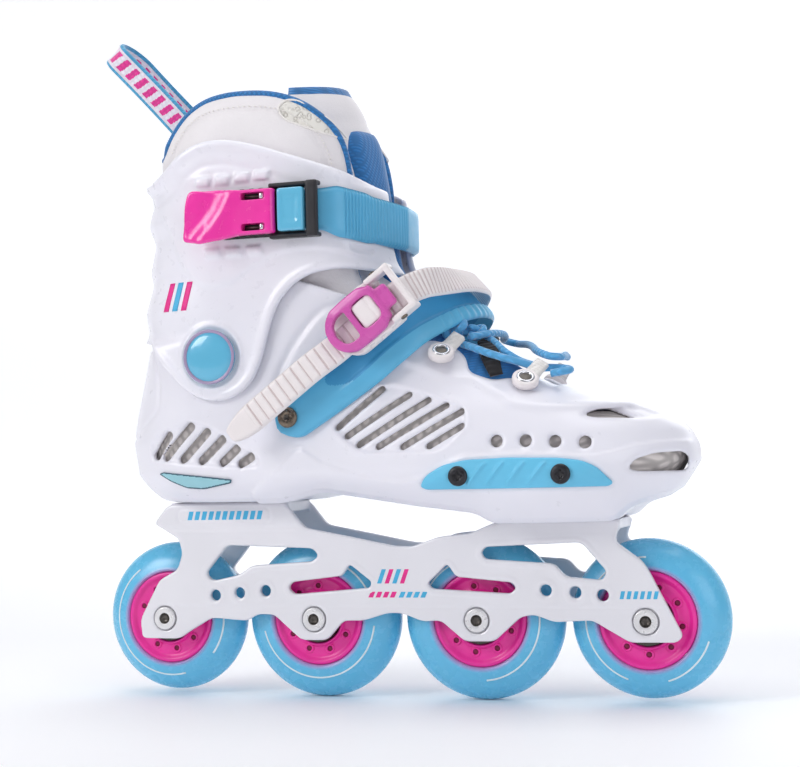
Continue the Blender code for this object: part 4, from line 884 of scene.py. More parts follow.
def collar_y(x, z):
    """How far the liner's outer face stands from the middle plane."""
    return oval(curve(LINER_HALF, z, 3.0), ends(x, curve(LINER_BACK, z, 3.0), curve(LINER_FRONT, z, 3.0),
                                                LINER_R, LINER_R))


def collar_line(inset, sign):
    """Points along the liner's edge, a little inside its outline, on one side."""
    top = [(-9.2, 204), (-9.7, 221), (-10, 238), (-13.5, 252), (-20, 262), (-31, 270.5), (-45, 275.5),
           (-62, 277), (-78, 275.4), (-89, 270.5), (-97, 262.5), (-102.5, 254)]
    run = [(float(p[0]), float(p[1])) for p in smoothed(top, 6)]
    out = []
    for (ax, az), (bx, bz) in zip(run, run[1:]):
        n = Vector((bz - az, -(bx - ax))).normalized()
        p = Vector((ax, az)) - n * inset
        out.append((p.x, sign * collar_y(p.x, p.y), p.y))
    return out


def liner_trim():
    """Blue piping round the top edge, with a row of stitches below it."""
    stitches = []
    near = [(x, y * 0.965, z) for x, y, z in collar_line(0.3, -1)]
    far = [(x, y * 0.965, z) for x, y, z in collar_line(0.3, 1)]
    back = []
    for k in range(1, 16):
        a = math.pi * k / 16
        back.append((-103.0 - 7.0 * math.sin(a), -24.0 * math.cos(a), 252.6 + 0.8 * math.sin(a)))
    path = near + back + far[::-1]
    v, f = tube([tuple(p) for p in smoothed(path[::2], 3)], 1.75, 10)
    piece("liner_piping", v, f, [royal_cloth], None)
    for sign in (-1, 1):
        row = collar_line(6.4, sign)[4:]
        line = [np.array(p) for p in smoothed(row, 3)]
        for a, b in zip(line[::3], line[1::3]):
            out = np.array((0.0, 0.25 * sign, 0.0))
            a2, b2 = a + out, a + (b - a) * 1.15 + out
            v, f = tube([tuple(a2), tuple((a2 + b2) / 2 + out), tuple(b2)], 0.32, 6, 0.4)
            stitches.append((v, f, 0))
    for sign in (-1, 1):
        edge = [(p[0], sign * (collar_y(p[0], p[1]) + 0.15), p[1]) for p in rounded(PATCH, 2.5, 4)]
        edge = edge + edge[:1]
        v, f = tube(edge, 0.5, 6)
        stitches.append((v, f, 0))
    v, f, _ = joined(stitches)
    piece("liner_stitches", v, f, [stitch_white], None)


TONGUE = ((124.5, 71.0, 9.0, 8.0), (130, 66.0, 12.0, 10.0), (138, 55.0, 16.0, 13.0), (148, 42.0, 19.0, 15.0),
          (160, 31.0, 22.0, 17.0), (175, 19.6, 24.0, 20.0), (190, 8.4, 26.4, 22.0), (205, 3.6, 28.0, 23.0),
          (225, -0.6, 29.5, 25.0), (240, -4.2, 30.5, 26.0), (256, -9.0, 31.0, 26.0), (270, -15.0, 30.0, 24.0),
          (283, -22.0, 25.0, 18.0))


def tongue_piece():
    """Padded tongue: a stitched white face, blue top and mesh lower down."""
    rows = smoothed(TONGUE, 7)
    across = 40
    verts, which = [], []
    count = len(rows)
    length = [0.0]
    for a, b in zip(rows, rows[1:]):
        length.append(length[-1] + math.hypot(b[0] - a[0], b[1] - a[1]))
    for i, (z, front, half, sag) in enumerate(rows):
        end = min(length[i], length[-1] - length[i])
        swell = float(ramp(np.array(end), -2.0, 9.0))
        thick = (6.5 + 4.0 * (1.0 - float(ramp(np.array(z), 150, 190)))) * (0.35 + 0.65 * swell)
        mid = float(centre_line(np.array(front)))
        for face in (0, 1):
            for k in range(across + 1):
                s = -1.0 + 2.0 * k / across
                edge = max(0.0, 1.0 - abs(s) ** 6) ** 0.5
                quilt = 0.9 * abs(math.sin(math.pi * length[i] / 17.0)) ** 0.5 * (1.0 - abs(s) ** 4)
                channel = -0.9 * math.exp(-((abs(s) - 0.78) / 0.035) ** 2)
                off = 0.0 if face == 0 else -thick * edge
                puff = (quilt + channel) * edge * swell if face == 0 else 0.0
                verts.append((front - sag * s * s + off + puff * 0.9 - (1 - edge) * 1.5, s * half + mid,
                              z - 2.0 * s * s + puff * 0.3))
    for z in [row[0] for row in rows[:-1]]:
        which += [3 if z < 158 else 2 if z > 278.5 else 0, 1] * across + [1, 1]
    which += [1] * (2 * across)
    faces = slab_faces(count, across, 2 * (across + 1), across + 1)
    looks = [leather, lining_blue, royal_cloth, black_mesh]
    ob = piece("tongue_pad", np.array(verts), faces, looks, None, "tongue", which)
    return ob


def tongue_front():
    """The blue mesh cushion on the upper front of the tongue."""
    rows = smoothed(TONGUE, 7)
    rows = [r for r in rows if 186.0 <= r[0] <= 264.0]
    across, top, under = 30, [], []
    for i, (z, front, half, sag) in enumerate(rows):
        u = i / (len(rows) - 1)
        dome = max(0.0, 1.0 - abs(2 * u - 1) ** 5) ** 0.5
        width = half * 0.6 * (0.6 + 0.4 * dome)
        for k in range(across + 1):
            s = -1.0 + 2.0 * k / across
            q = s * width / half
            bulge = 5.4 * dome * max(0.0, 1.0 - abs(s) ** 4) ** 0.5 + 0.7 * math.cos(math.pi * 2 * s) * dome
            top.append((front - sag * q * q + bulge - 0.4, q * half, z - 2.0 * q * q + 0.2 * bulge))
            under.append((front - sag * q * q - 1.2, q * half, z - 2.0 * q * q))
    faces = slab_faces(len(rows), across, across + 1, len(top))
    ob = piece("tongue_front_pad", np.array(top + under), faces, [lining_blue], None)
    return ob


def footbed():
    """Removable foot pad: flat under the toes, cupped round the heel."""
    inset = SHELL_WALL + LINER_GAP + LINER_WALL + 1.2
    x = np.linspace(-116.0, 118.0, 118)
    verts = []
    across = 26
    w2 = half_width(x, np.array([118.0]))[:, 0] - inset - 3.0
    e = ends(x, -131.0 + inset + 2, 136.0 - inset - 7, HEEL_R - 4, TOE_R - 4)
    f = np.maximum(1.0 - np.minimum(e, 1.0) ** ROUND, 0.0) ** (1.0 / ROUND)
    keep = f > 0.02
    x, w2, f = x[keep], w2[keep], f[keep]
    for layer in (0, 1):
        for i in range(len(x)):
            for k in range(across + 1):
                s = -1.0 + 2.0 * k / across
                cup = 3.4 * abs(s) ** 3 * (1.0 - float(ramp(x[i], -50.0, 10.0)))
                arch = 3.0 * max(s, 0.0) ** 2 * math.exp(-((x[i] + 15.0) / 34.0) ** 2)
                top = 107.4 + (cup + arch) * max(0.0, 1.0 - (1.0 - f[i]) ** 2)
                z = top if layer == 0 else 105.0
                verts.append((x[i], float(centre_line(x[i])) + s * w2[i] * f[i], z))
    faces = slab_faces(len(x), across, across + 1, len(x) * (across + 1))
    faces = [[q[0]] + q[:0:-1] for q in faces]            # turned over, so that the top faces up
    ob = piece("footbed", np.array(verts), faces, [footbed_cloth], "boot", "sole_pad")
    return ob


# ------------------------------------------------------------------ strips: straps, ladder, pull loop
def strip(stations, across, outward, widths, height, columns, looks=None):
    """Strip with rounded edges.  height(s, v) is the outer face's height over the inner one, for length
    s along the strip and v from -1 to 1 across it.  looks(s, v) picks the material."""
    length = [0.0]
    for a, b in zip(stations, stations[1:]):
        length.append(length[-1] + float(np.linalg.norm(np.array(b) - np.array(a))))
    verts, which = [], []
    w = columns + 1
    for i, c in enumerate(stations):
        c, a, o = np.array(c), np.array(across[i]), np.array(outward[i])
        a, o = a / np.linalg.norm(a), o / np.linalg.norm(o)
        for k in range(w):
            t = -1.0 + 2.0 * k / columns
            v = math.copysign(abs(t) ** 0.8, t)
            verts.append(c + a * v * widths[i] / 2 + o * height(length[i], v))
        for k in range(w):
            v = -1.0 + 2.0 * k / columns
            verts.append(c + a * v * widths[i] / 2)
    for i in range(len(stations) - 1):
        for k in range(columns):
            v = -1.0 + 2.0 * (k + 0.5) / columns
            which += [looks(0.5 * (length[i] + length[i + 1]), v) if looks else 0] * 2
        which += [looks(length[i], v) if looks else 0 for v in (-1.0, 1.0)]
    which += [which[0]] * columns + [which[-1]] * columns
    return np.array(verts), slab_faces(len(stations), columns, 2 * w, w), which


def rounded_edge(v, sharp=10.0):
    """Height factor that falls off at the two edges of a strip."""
    return max(0.0, 1.0 - abs(v) ** sharp) ** 0.5


def dense(stations, gap):
    """Points along a smooth curve through stations about gap apart, with the other columns carried along."""
    rows = [np.array(s, float) for s in stations]
    fine = smoothed(rows, 16)
    length = [0.0]
    for a, b in zip(fine, fine[1:]):
        length.append(length[-1] + float(np.linalg.norm(b[:3] - a[:3])))
    count = max(2, int(length[-1] / gap))
    table = np.array(fine)
    at = np.linspace(0, length[-1], count + 1)
    return np.stack([np.interp(at, length, table[:, c]) for c in range(table.shape[1])], axis=1)


def cuff_y(x, z):
    """How far the cuff's outer face stands from the middle plane."""
    return oval(curve(CUFF_HALF, z, 3.0), ends(x, curve(CUFF_BACK, z, 1.5), curve(CUFF_FRONT, z, 2.0),
                                               CUFF_R, CUFF_R))


def cuff_strap():
    """Ribbed strap round the front of the cuff."""
    def on_cuff(x, sign):
        z = 220.6 - 0.16 * max(x + 20.0, 0.0)
        return x, sign * (1.8 + max(cuff_y(x, z + d) for d in (-11.5, 0.0, 11.5))), z
    stations = [on_cuff(x, -1) for x in (-25.0, -19, -12.5, -7, -2, 2.2, 6, 9.2)]
    stations += [(13.4, -12.5, 215.2), (14.4, 0.0, 215.2), (13.4, 12.5, 215.2)]
    stations += [on_cuff(x, 1) for x in (9.2, 6, 2.2, -2, -7, -12.5, -19, -28, -40, -52, -60)]
    widths = [18.8] * 2 + [22.5] * 4 + [21] * 9 + [22] * 7
    rows = dense([(*p, w) for p, w in zip(stations, widths)], 0.35)
    tangent = np.gradient(rows[:, :3], axis=0)
    outward = [(t[1], -t[0], 0.0) for t in tangent]
    ribs_from, ribs_to = 17.0, 62.0

    def height(s, v):
        if ribs_from < s < ribs_to:
            rib = 0.5 + 0.5 * math.cos(2 * math.pi * (s - ribs_from) / 2.05)
            return (1.7 + 0.9 * rib ** 0.6) * rounded_edge(v) * (1.0 if abs(v) < 0.9 else 0.85)
        return 2.3 * rounded_edge(v)

    v, f, _ = strip(rows[:, :3], [(0, 0, 1)] * len(rows), outward, rows[:, 3], height, 12)
    piece("ankle_strap", v, f, [strap_blue], "cuff", "cuff_strap")


BUCKLE_X, BUCKLE_Z = 0.0, 170.0
STRAP_X, STRAP_Z = 0.8, 0.6


def on_strap(s, t):
    """x and z of a place s along the instep strap and t across it."""
    return BUCKLE_X + s * STRAP_X - t * STRAP_Z, BUCKLE_Z + s * STRAP_Z + t * STRAP_X


def strap_frame(points):
    """Directions across and out of a strap that wraps the boot."""
    p = np.asarray(points)
    tangent = np.gradient(p, axis=0)
    across, outward = [], []
    for q, t in zip(p, tangent):
        t = t / np.linalg.norm(t)
        w = float(ramp(abs(q[1]), 8.0, 40.0))
        lean = np.array((0.75 * (1 - w), math.copysign(w, q[1]), 0.66 * (1 - w)))
        o = lean - t * lean.dot(t)
        o /= np.linalg.norm(o)
        outward.append(o)
        across.append(np.cross(o, t))
    return across, outward


PAD_HALF = [(-41.5, -43.4, 123.4), (-31, -44.0, 132.6), (-18, -44.2, 143.6), (-6, -43.8, 154.6),
            (6, -42.2, 165.0), (18, -36.2, 173.4), (28, -24.6, 179.0), (33.5, -11.0, 181.4)]
PAD_WIDTH = [17, 22, 27, 32, 33, 30, 28, 27, 27, 27, 28, 30, 33, 32, 27, 22, 17]
PAD_STEP = 0.5                        # gap between the stations along the pad
LADDER_STEP = 0.3


def instep_pad():
    """Moulded carrier with a raised rim; the recessed middle it frames is painted a darker blue as shade."""
    points = PAD_HALF + [(35.0, 0.0, 182.0)] + [(x, -y, z) for x, y, z in PAD_HALF[::-1]]
    rows = dense([(*p, w) for p, w in zip(points, PAD_WIDTH)], PAD_STEP)
    across, outward = strap_frame(rows[:, :3])
    count = len(rows)
    total = PAD_STEP * count
    widths = rows[:, 3].copy()
    for i in range(count):
        end = min(i, count - 1 - i) * PAD_STEP
        widths[i] *= min(1.0, math.sqrt(max(0.05, 1.0 - (1.0 - min(end / 8.0, 1.0)) ** 2)))

    def bare(s):
        end = min(s, total - s)
        return float(ramp(np.array(end), 30.0, 42.0))

    def height(s, v):
        rim = float(ramp(np.array(abs(v)), 0.40, 0.50))
        top = 2.5 - (1.0 - rim) * 1.0 * bare(s)
        gather = 0.0
        if abs(s - total / 2) < 34 and abs(v) > 0.5:
            gather = 0.35 * math.sin(2 * math.pi * s / 4.4)
        return (top + gather) * rounded_edge(v, 8.0)

    # painted shade: the recessed middle takes the darker copy of the strap blue
    def looks(s, v):
        return 1 if abs(v) < 0.45 * math.sqrt(bare(s)) else 0

    start = np.array([p + o * 0.2 for p, o in zip(rows[:, :3], outward)])
    v, f, m = strip(start, across, outward, widths, height, 44, looks)
    ob = piece("instep_carrier", v, f, [strap_blue, pad_recess_shade], "boot", "instep_pad", m)
    return ob


def instep_ladder():
    """Toothed strap through the instep buckle."""
    stations = []
    for s in (-78.5, -66, -54, -42, -30, -18, -6, 8, 20):
        x, z = on_strap(s, -2.0)
        stations.append((x, -53.3 + 3.85 * float(ramp(np.array(s), -34, -16)), z))
    stations += [(25.2, -43.0, 185.0), (31.0, -33.0, 187.0), (36.4, -19.0, 188.0), (38.8, -6, 188.2),
                 (38.2, 7, 188.0), (34.6, 21.0, 186.6), (28.0, 33.6, 182.6), (18.8, 43.4, 177.0),
                 (6.0, 48.6, 168.0)]
    widths = [12.0] + [13.4] * (len(stations) - 1)
    rows = dense([(*p, w) for p, w in zip(stations, widths)], LADDER_STEP)
    across, outward = strap_frame(rows[:, :3])
    count = len(rows)
    total = LADDER_STEP * count
    widths = rows[:, 3].copy()
    tip = 15.0                        # the strap's end narrows over this length
    for i in range(count):
        s = LADDER_STEP * i
        if s < tip:
            widths[i] *= 0.42 + 0.58 * math.sqrt(max(0.0, 1.0 - (1.0 - s / tip) ** 2))
    pitch, fine = 4.3, 2.1

    def groove(s):
        if s < 13.0 or s > total - 10.0:
            return 0.0
        p = pitch if s < 104.0 else fine
        return math.exp(-(((s - 13.0) % p - p / 2) / (0.42 if p == pitch else 0.5)) ** 2)

    def height(s, v):
        bar = 0.0 if s < 13.0 else 0.35 * (1.0 - groove(s)) * (1.0 if abs(v) < 0.86 else 0.4)
        return (1.7 + bar - 0.45 * groove(s) * (abs(v) < 0.86)) * rounded_edge(v, 12.0)

    # painted shade: the grooves take the darker copy of the strap's white
    def looks(s, v):
        return 1 if groove(s) > 0.55 and abs(v) < 0.84 else 0

    v, f, m = strip(rows[:, :3], across, outward, widths, height, 14, looks)
    piece("instep_ladder_strap", v, f, [ladder_white, ladder_groove_shade], "boot", "instep_ladder", m)


def pull_loop():
    """Webbing loop: blue selvedges, white middle, slanted pink bars."""
    along = Vector((-0.68, 0.0, 0.733)).normalized()
    flat = Vector((0.733, 0.0, 0.68)).normalized()
    root = Vector((-99.5, 0.0, 268.5))
    leg, apex, spread = 50.0, 8.5, 12.5
    stations, outs = [], []

    def side_leg(k, sign):
        bow = 1.5 * math.sin(math.pi * max(k, 0) / 12)
        stations.append(root + along * (leg * k / 12) + Vector((0, sign * (spread - bow), 0)))
        outs.append(Vector((0, sign, 0)))
    for k in range(-3, 13):
        side_leg(k, -1)
    for k in range(1, 12):
        a = math.pi * k / 12
        stations.append(root + along * (leg + apex * math.sin(a)) + Vector((0, -spread * math.cos(a), 0)))
        outs.append((along * math.sin(a) + Vector((0, -math.cos(a), 0))).normalized())
    for k in range(12, -4, -1):
        side_leg(k, 1)
    rows = dense([(*p, *o) for p, o in zip(stations, outs)], 0.45)

    def height(s, v):
        ridge = 0.18 * math.cos(math.pi * 2 * s / 1.1)
        edge = 0.25 if abs(v) > 0.66 else 0.0
        return (1.1 + edge + ridge * (abs(v) > 0.6)) * rounded_edge(v, 14.0)

    def looks(s, v):
        if abs(v) > 0.66:
            return 1
        if abs(v) < 0.46 and ((s + 2.2 * v) % 6.4) < 3.4:
            return 2
        return 0

    v, f, m = strip(rows[:, :3], [tuple(flat)] * len(rows), rows[:, 3:6], [12.4] * len(rows), height, 26,
                    looks)
    piece("pull_strap", v, f, [webbing_white, webbing_blue, webbing_pink], "cuff", "pull_loop", m)


# ------------------------------------------------------------------ turned parts
def lathe(profile, middle, axis=(0.0, -1.0, 0.0), seg=48, radius_at=None, closed=False):
    """Turn (radius, height) points about an axis; height runs along it from the middle."""
    n = Vector(axis).normalized()
    a = Vector((1, 0, 0)) if abs(n.x) < 0.8 else Vector((0, 0, 1))
    a = (a - n * a.dot(n)).normalized()
    b = n.cross(a)
    c = Vector(middle)
    verts, faces = [], []
    for i, (r, h) in enumerate(profile):
        for k in range(seg):
            t = 2 * math.pi * k / seg
            rr = radius_at(i, r, t) if radius_at else r
            verts.append(tuple(c + n * h + a * rr * math.cos(t) + b * rr * math.sin(t)))
    count = len(profile)
    for i in range(count if closed else count - 1):
        j = (i + 1) % count
        for k in range(seg):
            m = (k + 1) % seg
            faces.append([i * seg + k, i * seg + m, j * seg + m, j * seg + k])
    if not closed:
        faces.append(list(range(seg))[::-1])
        faces.append([(count - 1) * seg + k for k in range(seg)])
    return np.array(verts), faces


def arc_points(cr, ch, r, start, end, steps):
    """Points of a round corner in a profile, angles in degrees from outward."""
    out = []
    for k in range(steps + 1):
        a = math.radians(start + (end - start) * k / steps)
        out.append((cr + r * math.cos(a), ch + r * math.sin(a)))
    return out


def slot_drive(drive, r):
    """Radius of a socket by angle: six flats for a hex key, four wings for a cross."""
    def hexagon(t):
        return r / math.cos((t % (math.pi / 3)) - math.pi / 6)

    def cross(t):
        return r * (0.42 + 0.9 * max(0.0, abs(math.cos(2 * t)) - 0.45))
    return hexagon if drive == "hex" else cross


# ------------------------------------------------------------------ wheels
TYRE_HALF, TYRE_CROWN, HUB_R = 11.6, 16.0, 21.3
BOLT_CIRCLE, HUB_HOLES = 14.3, 9
ARC_R, ARC_W = 26.9, 0.75
ARCS = ((125, 285), (322, 376))


def wheel(i):
    """Cast tyre with printed arcs, dished hub with small rings and the axle bolt with its hex socket."""
    c, big = AXLES[i], WHEEL_R[i]
    body, name = "wheel%d" % (i + 1), "wheel%d_" % (i + 1)
    profile = [(HUB_R + 0.2, -TYRE_HALF + 1.0), (HUB_R + 0.9, -TYRE_HALF + 0.15)]
    for k in range(45):
        t = -math.pi / 2 + math.pi * k / 44
        s = TYRE_HALF * math.sin(t)
        r = big - TYRE_CROWN * (1.0 - math.cos(t)) + 2.0 * (1.0 - math.cos(t)) ** 6
        profile.append((max(r, HUB_R + 1.3), s))
    profile += [(HUB_R + 0.9, TYRE_HALF - 0.15), (HUB_R + 0.2, TYRE_HALF - 1.0)]
    v, f = lathe(profile, c, (0, 1, 0), 120, closed=True)
    piece(name + "tyre_cast", v, f, [tyre_blue], body, name + "tyre", origin=c)

    # printed white arcs lie on the side of the tyre
    def side_at(r):
        t = math.acos(max(-1.0, min(1.0, 1.0 - (big - r) / TYRE_CROWN)))
        for _ in range(6):
            value = big - TYRE_CROWN * (1.0 - math.cos(t)) + 2.0 * (1.0 - math.cos(t)) ** 6 - r
            t += value / (TYRE_CROWN * max(math.sin(t), 0.2))
        return TYRE_HALF * math.sin(min(t, math.pi / 2))
    parts = []
    turn = (0.0, 68.0, 150.0, -35.0)[i]
    for side in (-1, 1):
        for start, end in ARCS:
            count = 60
            verts, faces = [], []
            for k in range(count + 1):
                a = math.radians(start + turn + (end - start) * k / count)
                for r, lift in ((ARC_R, -0.1), (ARC_R, 0.12), (ARC_R + ARC_W, 0.12), (ARC_R + ARC_W, -0.1)):
                    y = side * (side_at(r) + lift)
                    verts.append((c.x + r * math.cos(a), y, c.z + r * math.sin(a)))
            for k in range(count):
                for e in range(4):
                    quad = [4 * k + e, 4 * k + (e + 1) % 4, 4 * k + 4 + (e + 1) % 4, 4 * k + 4 + e]
                    faces.append(quad if side < 0 else quad[::-1])
            faces.append([0, 3, 2, 1] if side < 0 else [0, 1, 2, 3])
            last = 4 * count
            faces.append([last, last + 1, last + 2, last + 3] if side < 0
                         else [last, last + 3, last + 2, last + 1])
            parts.append((verts, faces, 0))
    v, f, m = joined(parts)
    piece(name + "tyre_arcs", v, f, [line_white], body, slot=name + "tyre")

    face, dish, lip = 10.9, 9.6, 11.85
    half = [(11.4, 4.7), (11.4, lip - 0.4)] + arc_points(12.0, lip - 0.5, 0.5, 120, 0, 4)
    half += [(12.9, dish + 0.5), (13.4, dish), (17.6, dish), (18.4, dish + 0.2), (19.2, face - 0.3)]
    half += [(19.8, face), (20.8, face), (HUB_R, face - 0.5)]
    profile = half + [(HUB_R, 0.0)] + [(r, -h) for r, h in half[::-1]]
    profile += [(8.6, -4.7), (8.6, 4.7)]
    v, f = lathe(profile, c, (0, 1, 0), 96, closed=True)
    parts = [(v, [q[::-1] for q in f], 0)]
    for side in (-1, 1):
        for k in range(HUB_HOLES):
            a = 2 * math.pi * (k + 0.25 * i) / HUB_HOLES
            at = (c.x + BOLT_CIRCLE * math.cos(a) * 1.04, side * dish, c.z + BOLT_CIRCLE * math.sin(a) * 1.04)
            ring = [(2.3, -0.3), (2.3, 0.25), (2.0, 0.5), (1.5, 0.5), (1.25, 0.3), (1.25, -0.3)]
            v, f = lathe(ring, at, (0, side, 0), 18, closed=True)
            parts.append((v, f, 0))
            # painted shade: a dark pink disc closes each small ring's opening
            v, f = lathe([(1.3, -0.25), (1.3, 0.05), (0.5, 0.1)], at, (0, side, 0), 14)
            parts.append((v, f, 1))
    v, f, m = joined(parts)
    piece(name + "hub_core", v, f, [hub_pink, hub_dark], body, name + "hub", m)

    hexagon = slot_drive("hex", 2.15)
    head = [(4.0, -3.0), (4.0, 0.0), (5.15, 0.0), (5.3, 0.3)] + arc_points(4.7, 1.2, 0.6, 0, 90, 4)
    head += [(3.0, 1.8), (2.6, 1.7)]
    count = len(head)
    head += [(2.3, 1.6), (2.3, 0.2), (0.3, 0.15)]

    def radius_at(index, r, t):
        return hexagon(t) if count <= index < count + 2 else r
    parts = []
    v, f = lathe(head, (c.x, -15.5, c.z), (0, -1, 0), 48, radius_at)
    rings = len(head)
    looks = []
    # painted shade: the hex socket takes the darker steel
    for index in range(rings - 1):
        looks += [1 if index >= count - 1 else 0] * 48
    parts.append((v, f, looks + [0, 1]))
    v, f = lathe([(3.97, 0.0), (3.97, 32.5), (3.6, 33.0), (2.4, 33.1), (2.2, 32.2), (0.3, 32.2)],
                 (c.x, -15.5, c.z), (0, 1, 0), 32)
    parts.append((v, f, 0))
    v, f, m = joined(parts)
    piece(name + "axle_bolt", v, f, [axle_white, steel_dark], "boot", name + "axle", m)


# ------------------------------------------------------------------ frame
RAIL = [(-110.9, 90.1), (-118.3, 81.5), (-105.5, 74.2), (-103.8, 67.4), (-106.5, 59.8), (-115.9, 55.0),
        (-126.2, 36.7), (-125.6, 27.6), (-106.5, 27.5), (-100.6, 31.2), (-89.5, 37.4), (-71.5, 36.1),
        (-66.3, 39.2), (-58.2, 39.1), (-44.8, 27.5), (-32.4, 27.6), (-24.2, 36.5), (-14.4, 36.6),
        (-2.7, 40.1), (4.0, 40.0), (13.5, 36.4), (21.9, 36.9), (32.9, 27.7), (46.2, 27.8), (58.6, 38.7),
        (64.7, 39.7), (73.6, 36.5), (90.3, 37.4), (106.5, 28.0), (126.6, 28.2), (129.3, 31.1),
        (115.2, 59.5), (112.5, 63.3), (101.1, 71.6), (104.3, 80.6), (49.8, 80.6), (45.7, 79.4),
        (36.4, 75.5), (21.9, 74.2), (9.2, 69.8), (1.0, 70.1), (-22.3, 74.9), (-42.1, 78.8),
        (-51.4, 90.1)]
WINDOWS = [
    ([(-81, 71.1), (-38.3, 69.4), (-35.4, 66.1), (-38.4, 63.4), (-68.8, 61.6), (-74.6, 57.4),
      (-88.6, 54.5), (-92.2, 57.9)], 3.0),
    ([(-50.8, 51.2), (-48.7, 54.0), (-24.2, 56.8), (-20.6, 62.2), (-10.1, 54.0), (-11.1, 51.4),
      (-47.8, 48.4)], 2.0),
    ([(16.1, 53.3), (25.7, 62.2), (29.6, 56.3), (55.1, 53.8), (57, 51.4), (54.4, 48.9), (18.4, 51.0)], 2.0),
    ([(41.2, 66.8), (43.4, 69.5), (86.5, 71.2), (97.3, 58.6), (95.7, 54.8), (79.1, 56.2), (74.3, 62.0),
      (43.2, 64.1)], 3.0)]
RAIL_HOLES = ((-87.2, 47.9), (-75, 49), (-62, 50), (70.2, 50.4), (83.3, 49.5), (95.3, 48.3))
RAIL_OUT, RAIL_IN = 17.0, 13.9
# how many bars, first place, pitch, height, width, length, lean, colours in turn
RAIL_MARKS = ((11, -99.0, 3.5, 85.0, 2.2, 4.0, 0.5, (0,)), (6, 118.4, -2.9, 48.4, 1.7, 3.4, 0.4, (0,)),
              (4, -10.0, 3.4, 48.4, 2.2, 2.6, 0.6, (1,)), (4, 4.4, 3.4, 48.4, 2.2, 2.6, 0.6, (0,)),
              (4, -5.2, 3.6, 56.6, 2.0, 6.4, 1.2, (0, 1)))
PLATFORMS = ((-110.0, -51.0, 86.0, 91.0), (50.0, 103.0, 76.5, 81.0))
STEP_LINE, SHOULDER = 42.4, 78.8
LABEL = [(-105.7, 81.4), (-105.7, 88.6), (-59, 88.6), (-59, 81.4)]


def frame_piece():
    """Both rails, their platforms, windows and bosses, and plain printed bars."""
    step = 0.65
    lo, hi = (-128.5, -19.0, 25.0), (132.0, 19.0, 93.0)
    x, y, z = axes(lo, hi, step)
    px, pz = x[:, None], z[None, :]
    rail = sd_poly(px, pz, rounded(RAIL, 2.4, 4))
    holes = None
    for points, r in WINDOWS:
        d = sd_poly(px, pz, rounded(points, r * 0.9, 4))
        holes = d if holes is None else np.minimum(holes, d)
    for cx, cz in RAIL_HOLES:
        holes = np.minimum(holes, np.hypot(px - cx, pz - cz) - 2.6)
    plate = np.maximum(rail, -holes)
    label = sd_poly(px, pz, rounded(LABEL, 3.2, 5))
    detail = 0.35 * bell(pz - STEP_LINE, 0.55)
    detail = detail + 0.3 * bell(pz - SHOULDER, 0.9) * (px < -46)
    detail = detail + 0.4 * bell(label, 0.5)
    detail = detail + 0.25 * ramp(42.0 - pz, 0.0, 1.0)
    detail = detail - 0.25 * bell(holes - 1.6, 0.8)
    side = np.abs(y)
    outer = (side - RAIL_OUT)[None, :, None] + detail[:, None, :]
    inner = (RAIL_IN - side)[None, :, None]
    d = smax(plate[:, None, :], np.maximum(outer, inner), 1.2)
    for x0, x1, z0, z1 in PLATFORMS:
        bx = np.abs(x - 0.5 * (x0 + x1)) - 0.5 * (x1 - x0)
        by = side - 15.6
        bz = np.abs(z - 0.5 * (z0 + z1)) - 0.5 * (z1 - z0)
        plan = smax(bx[:, None], by[None, :], 4)
        deck = smax(plan[:, :, None], bz[None, None, :], 0.8)
        d = smin(d, deck, 2.0)
    for c in AXLES:
        r = np.hypot(px - c.x, pz - c.z)
        boss = np.maximum((r - 6.2)[:, None, :], np.abs(side - 13.7)[None, :, None] - 1.3)
        d = smin(d, boss, 0.8)
        d = np.maximum(d, -(r - 4.4)[:, None, :])
        seat = np.maximum((r - 5.9)[:, None, :], (y + 15.2)[None, :, None])
        d = smax(d, -seat, 0.3)
    for cx in (-80.0, 76.5):
        hole = np.hypot(px[:, :, None] - cx, y[None, :, None]) - 4.5
        d = np.maximum(d, -hole)
    verts, quads = nets(d, lo, step)
    piece("rail_frame", verts, quads, [frame_paint], "boot", "frame")

    # small generic marks: plain slanted bars, no lettering
    parts = []
    y0 = -RAIL_OUT - 0.06

    def bar(cx, cz, wide, high, lean, look):
        a = [(cx - wide / 2 - lean, cz - high / 2), (cx + wide / 2 - lean, cz - high / 2),
             (cx + wide / 2 + lean, cz + high / 2), (cx - wide / 2 + lean, cz + high / 2)]
        v = [(p[0], yy, p[1]) for yy in (y0 + 0.2, y0) for p in a]
        f = [[4, 5, 6, 7], [0, 3, 2, 1], [0, 1, 5, 4], [1, 2, 6, 5], [2, 3, 7, 6], [3, 0, 4, 7]]
        parts.append((v, f, look))
    for count, start, pitch, height, wide, high, lean, colours in RAIL_MARKS:
        for k in range(count):
            bar(start + pitch * k, height, wide, high, lean, colours[k % len(colours)])
    v, f, m = joined(parts)
    piece("frame_marks", v, f, [mark_blue, mark_pink], "boot", which=m, flat=True, slot="frame")


# ------------------------------------------------------------------ guards, inlays, screws
def side_y(x, z):
    """How far the hard boot's side stands from the middle plane at one point."""
    x1, z1 = np.array([x]), np.array([z])
    zb = float(curve(SOLE, x, 2.5))
    h = min(max((z - zb) / (SIDE_START - zb), 0.0), 1.0)
    w = float(half_width(x1, np.maximum(z1, SIDE_START))[0, 0]) * (1.0 - 0.26 * (1.0 - h) ** 2)
    e = float(ends(x, curve(SHELL_BACK, z, 0.8), curve(SHELL_FRONT, z, 1.6), HEEL_R, TOE_R))
    return oval(w, e)


HEAD_SEAT = 2.75                      # the guard screws' heads stand this far out of the hard boot
GUARD_RIDGES = [((43, 95.5), (54.3, 108.5)), ((51.2, 95.0), (62.0, 108.8)), ((60.0, 95.0), (70.8, 108.6)),
                ((68.8, 95.0), (79.6, 108.4))]


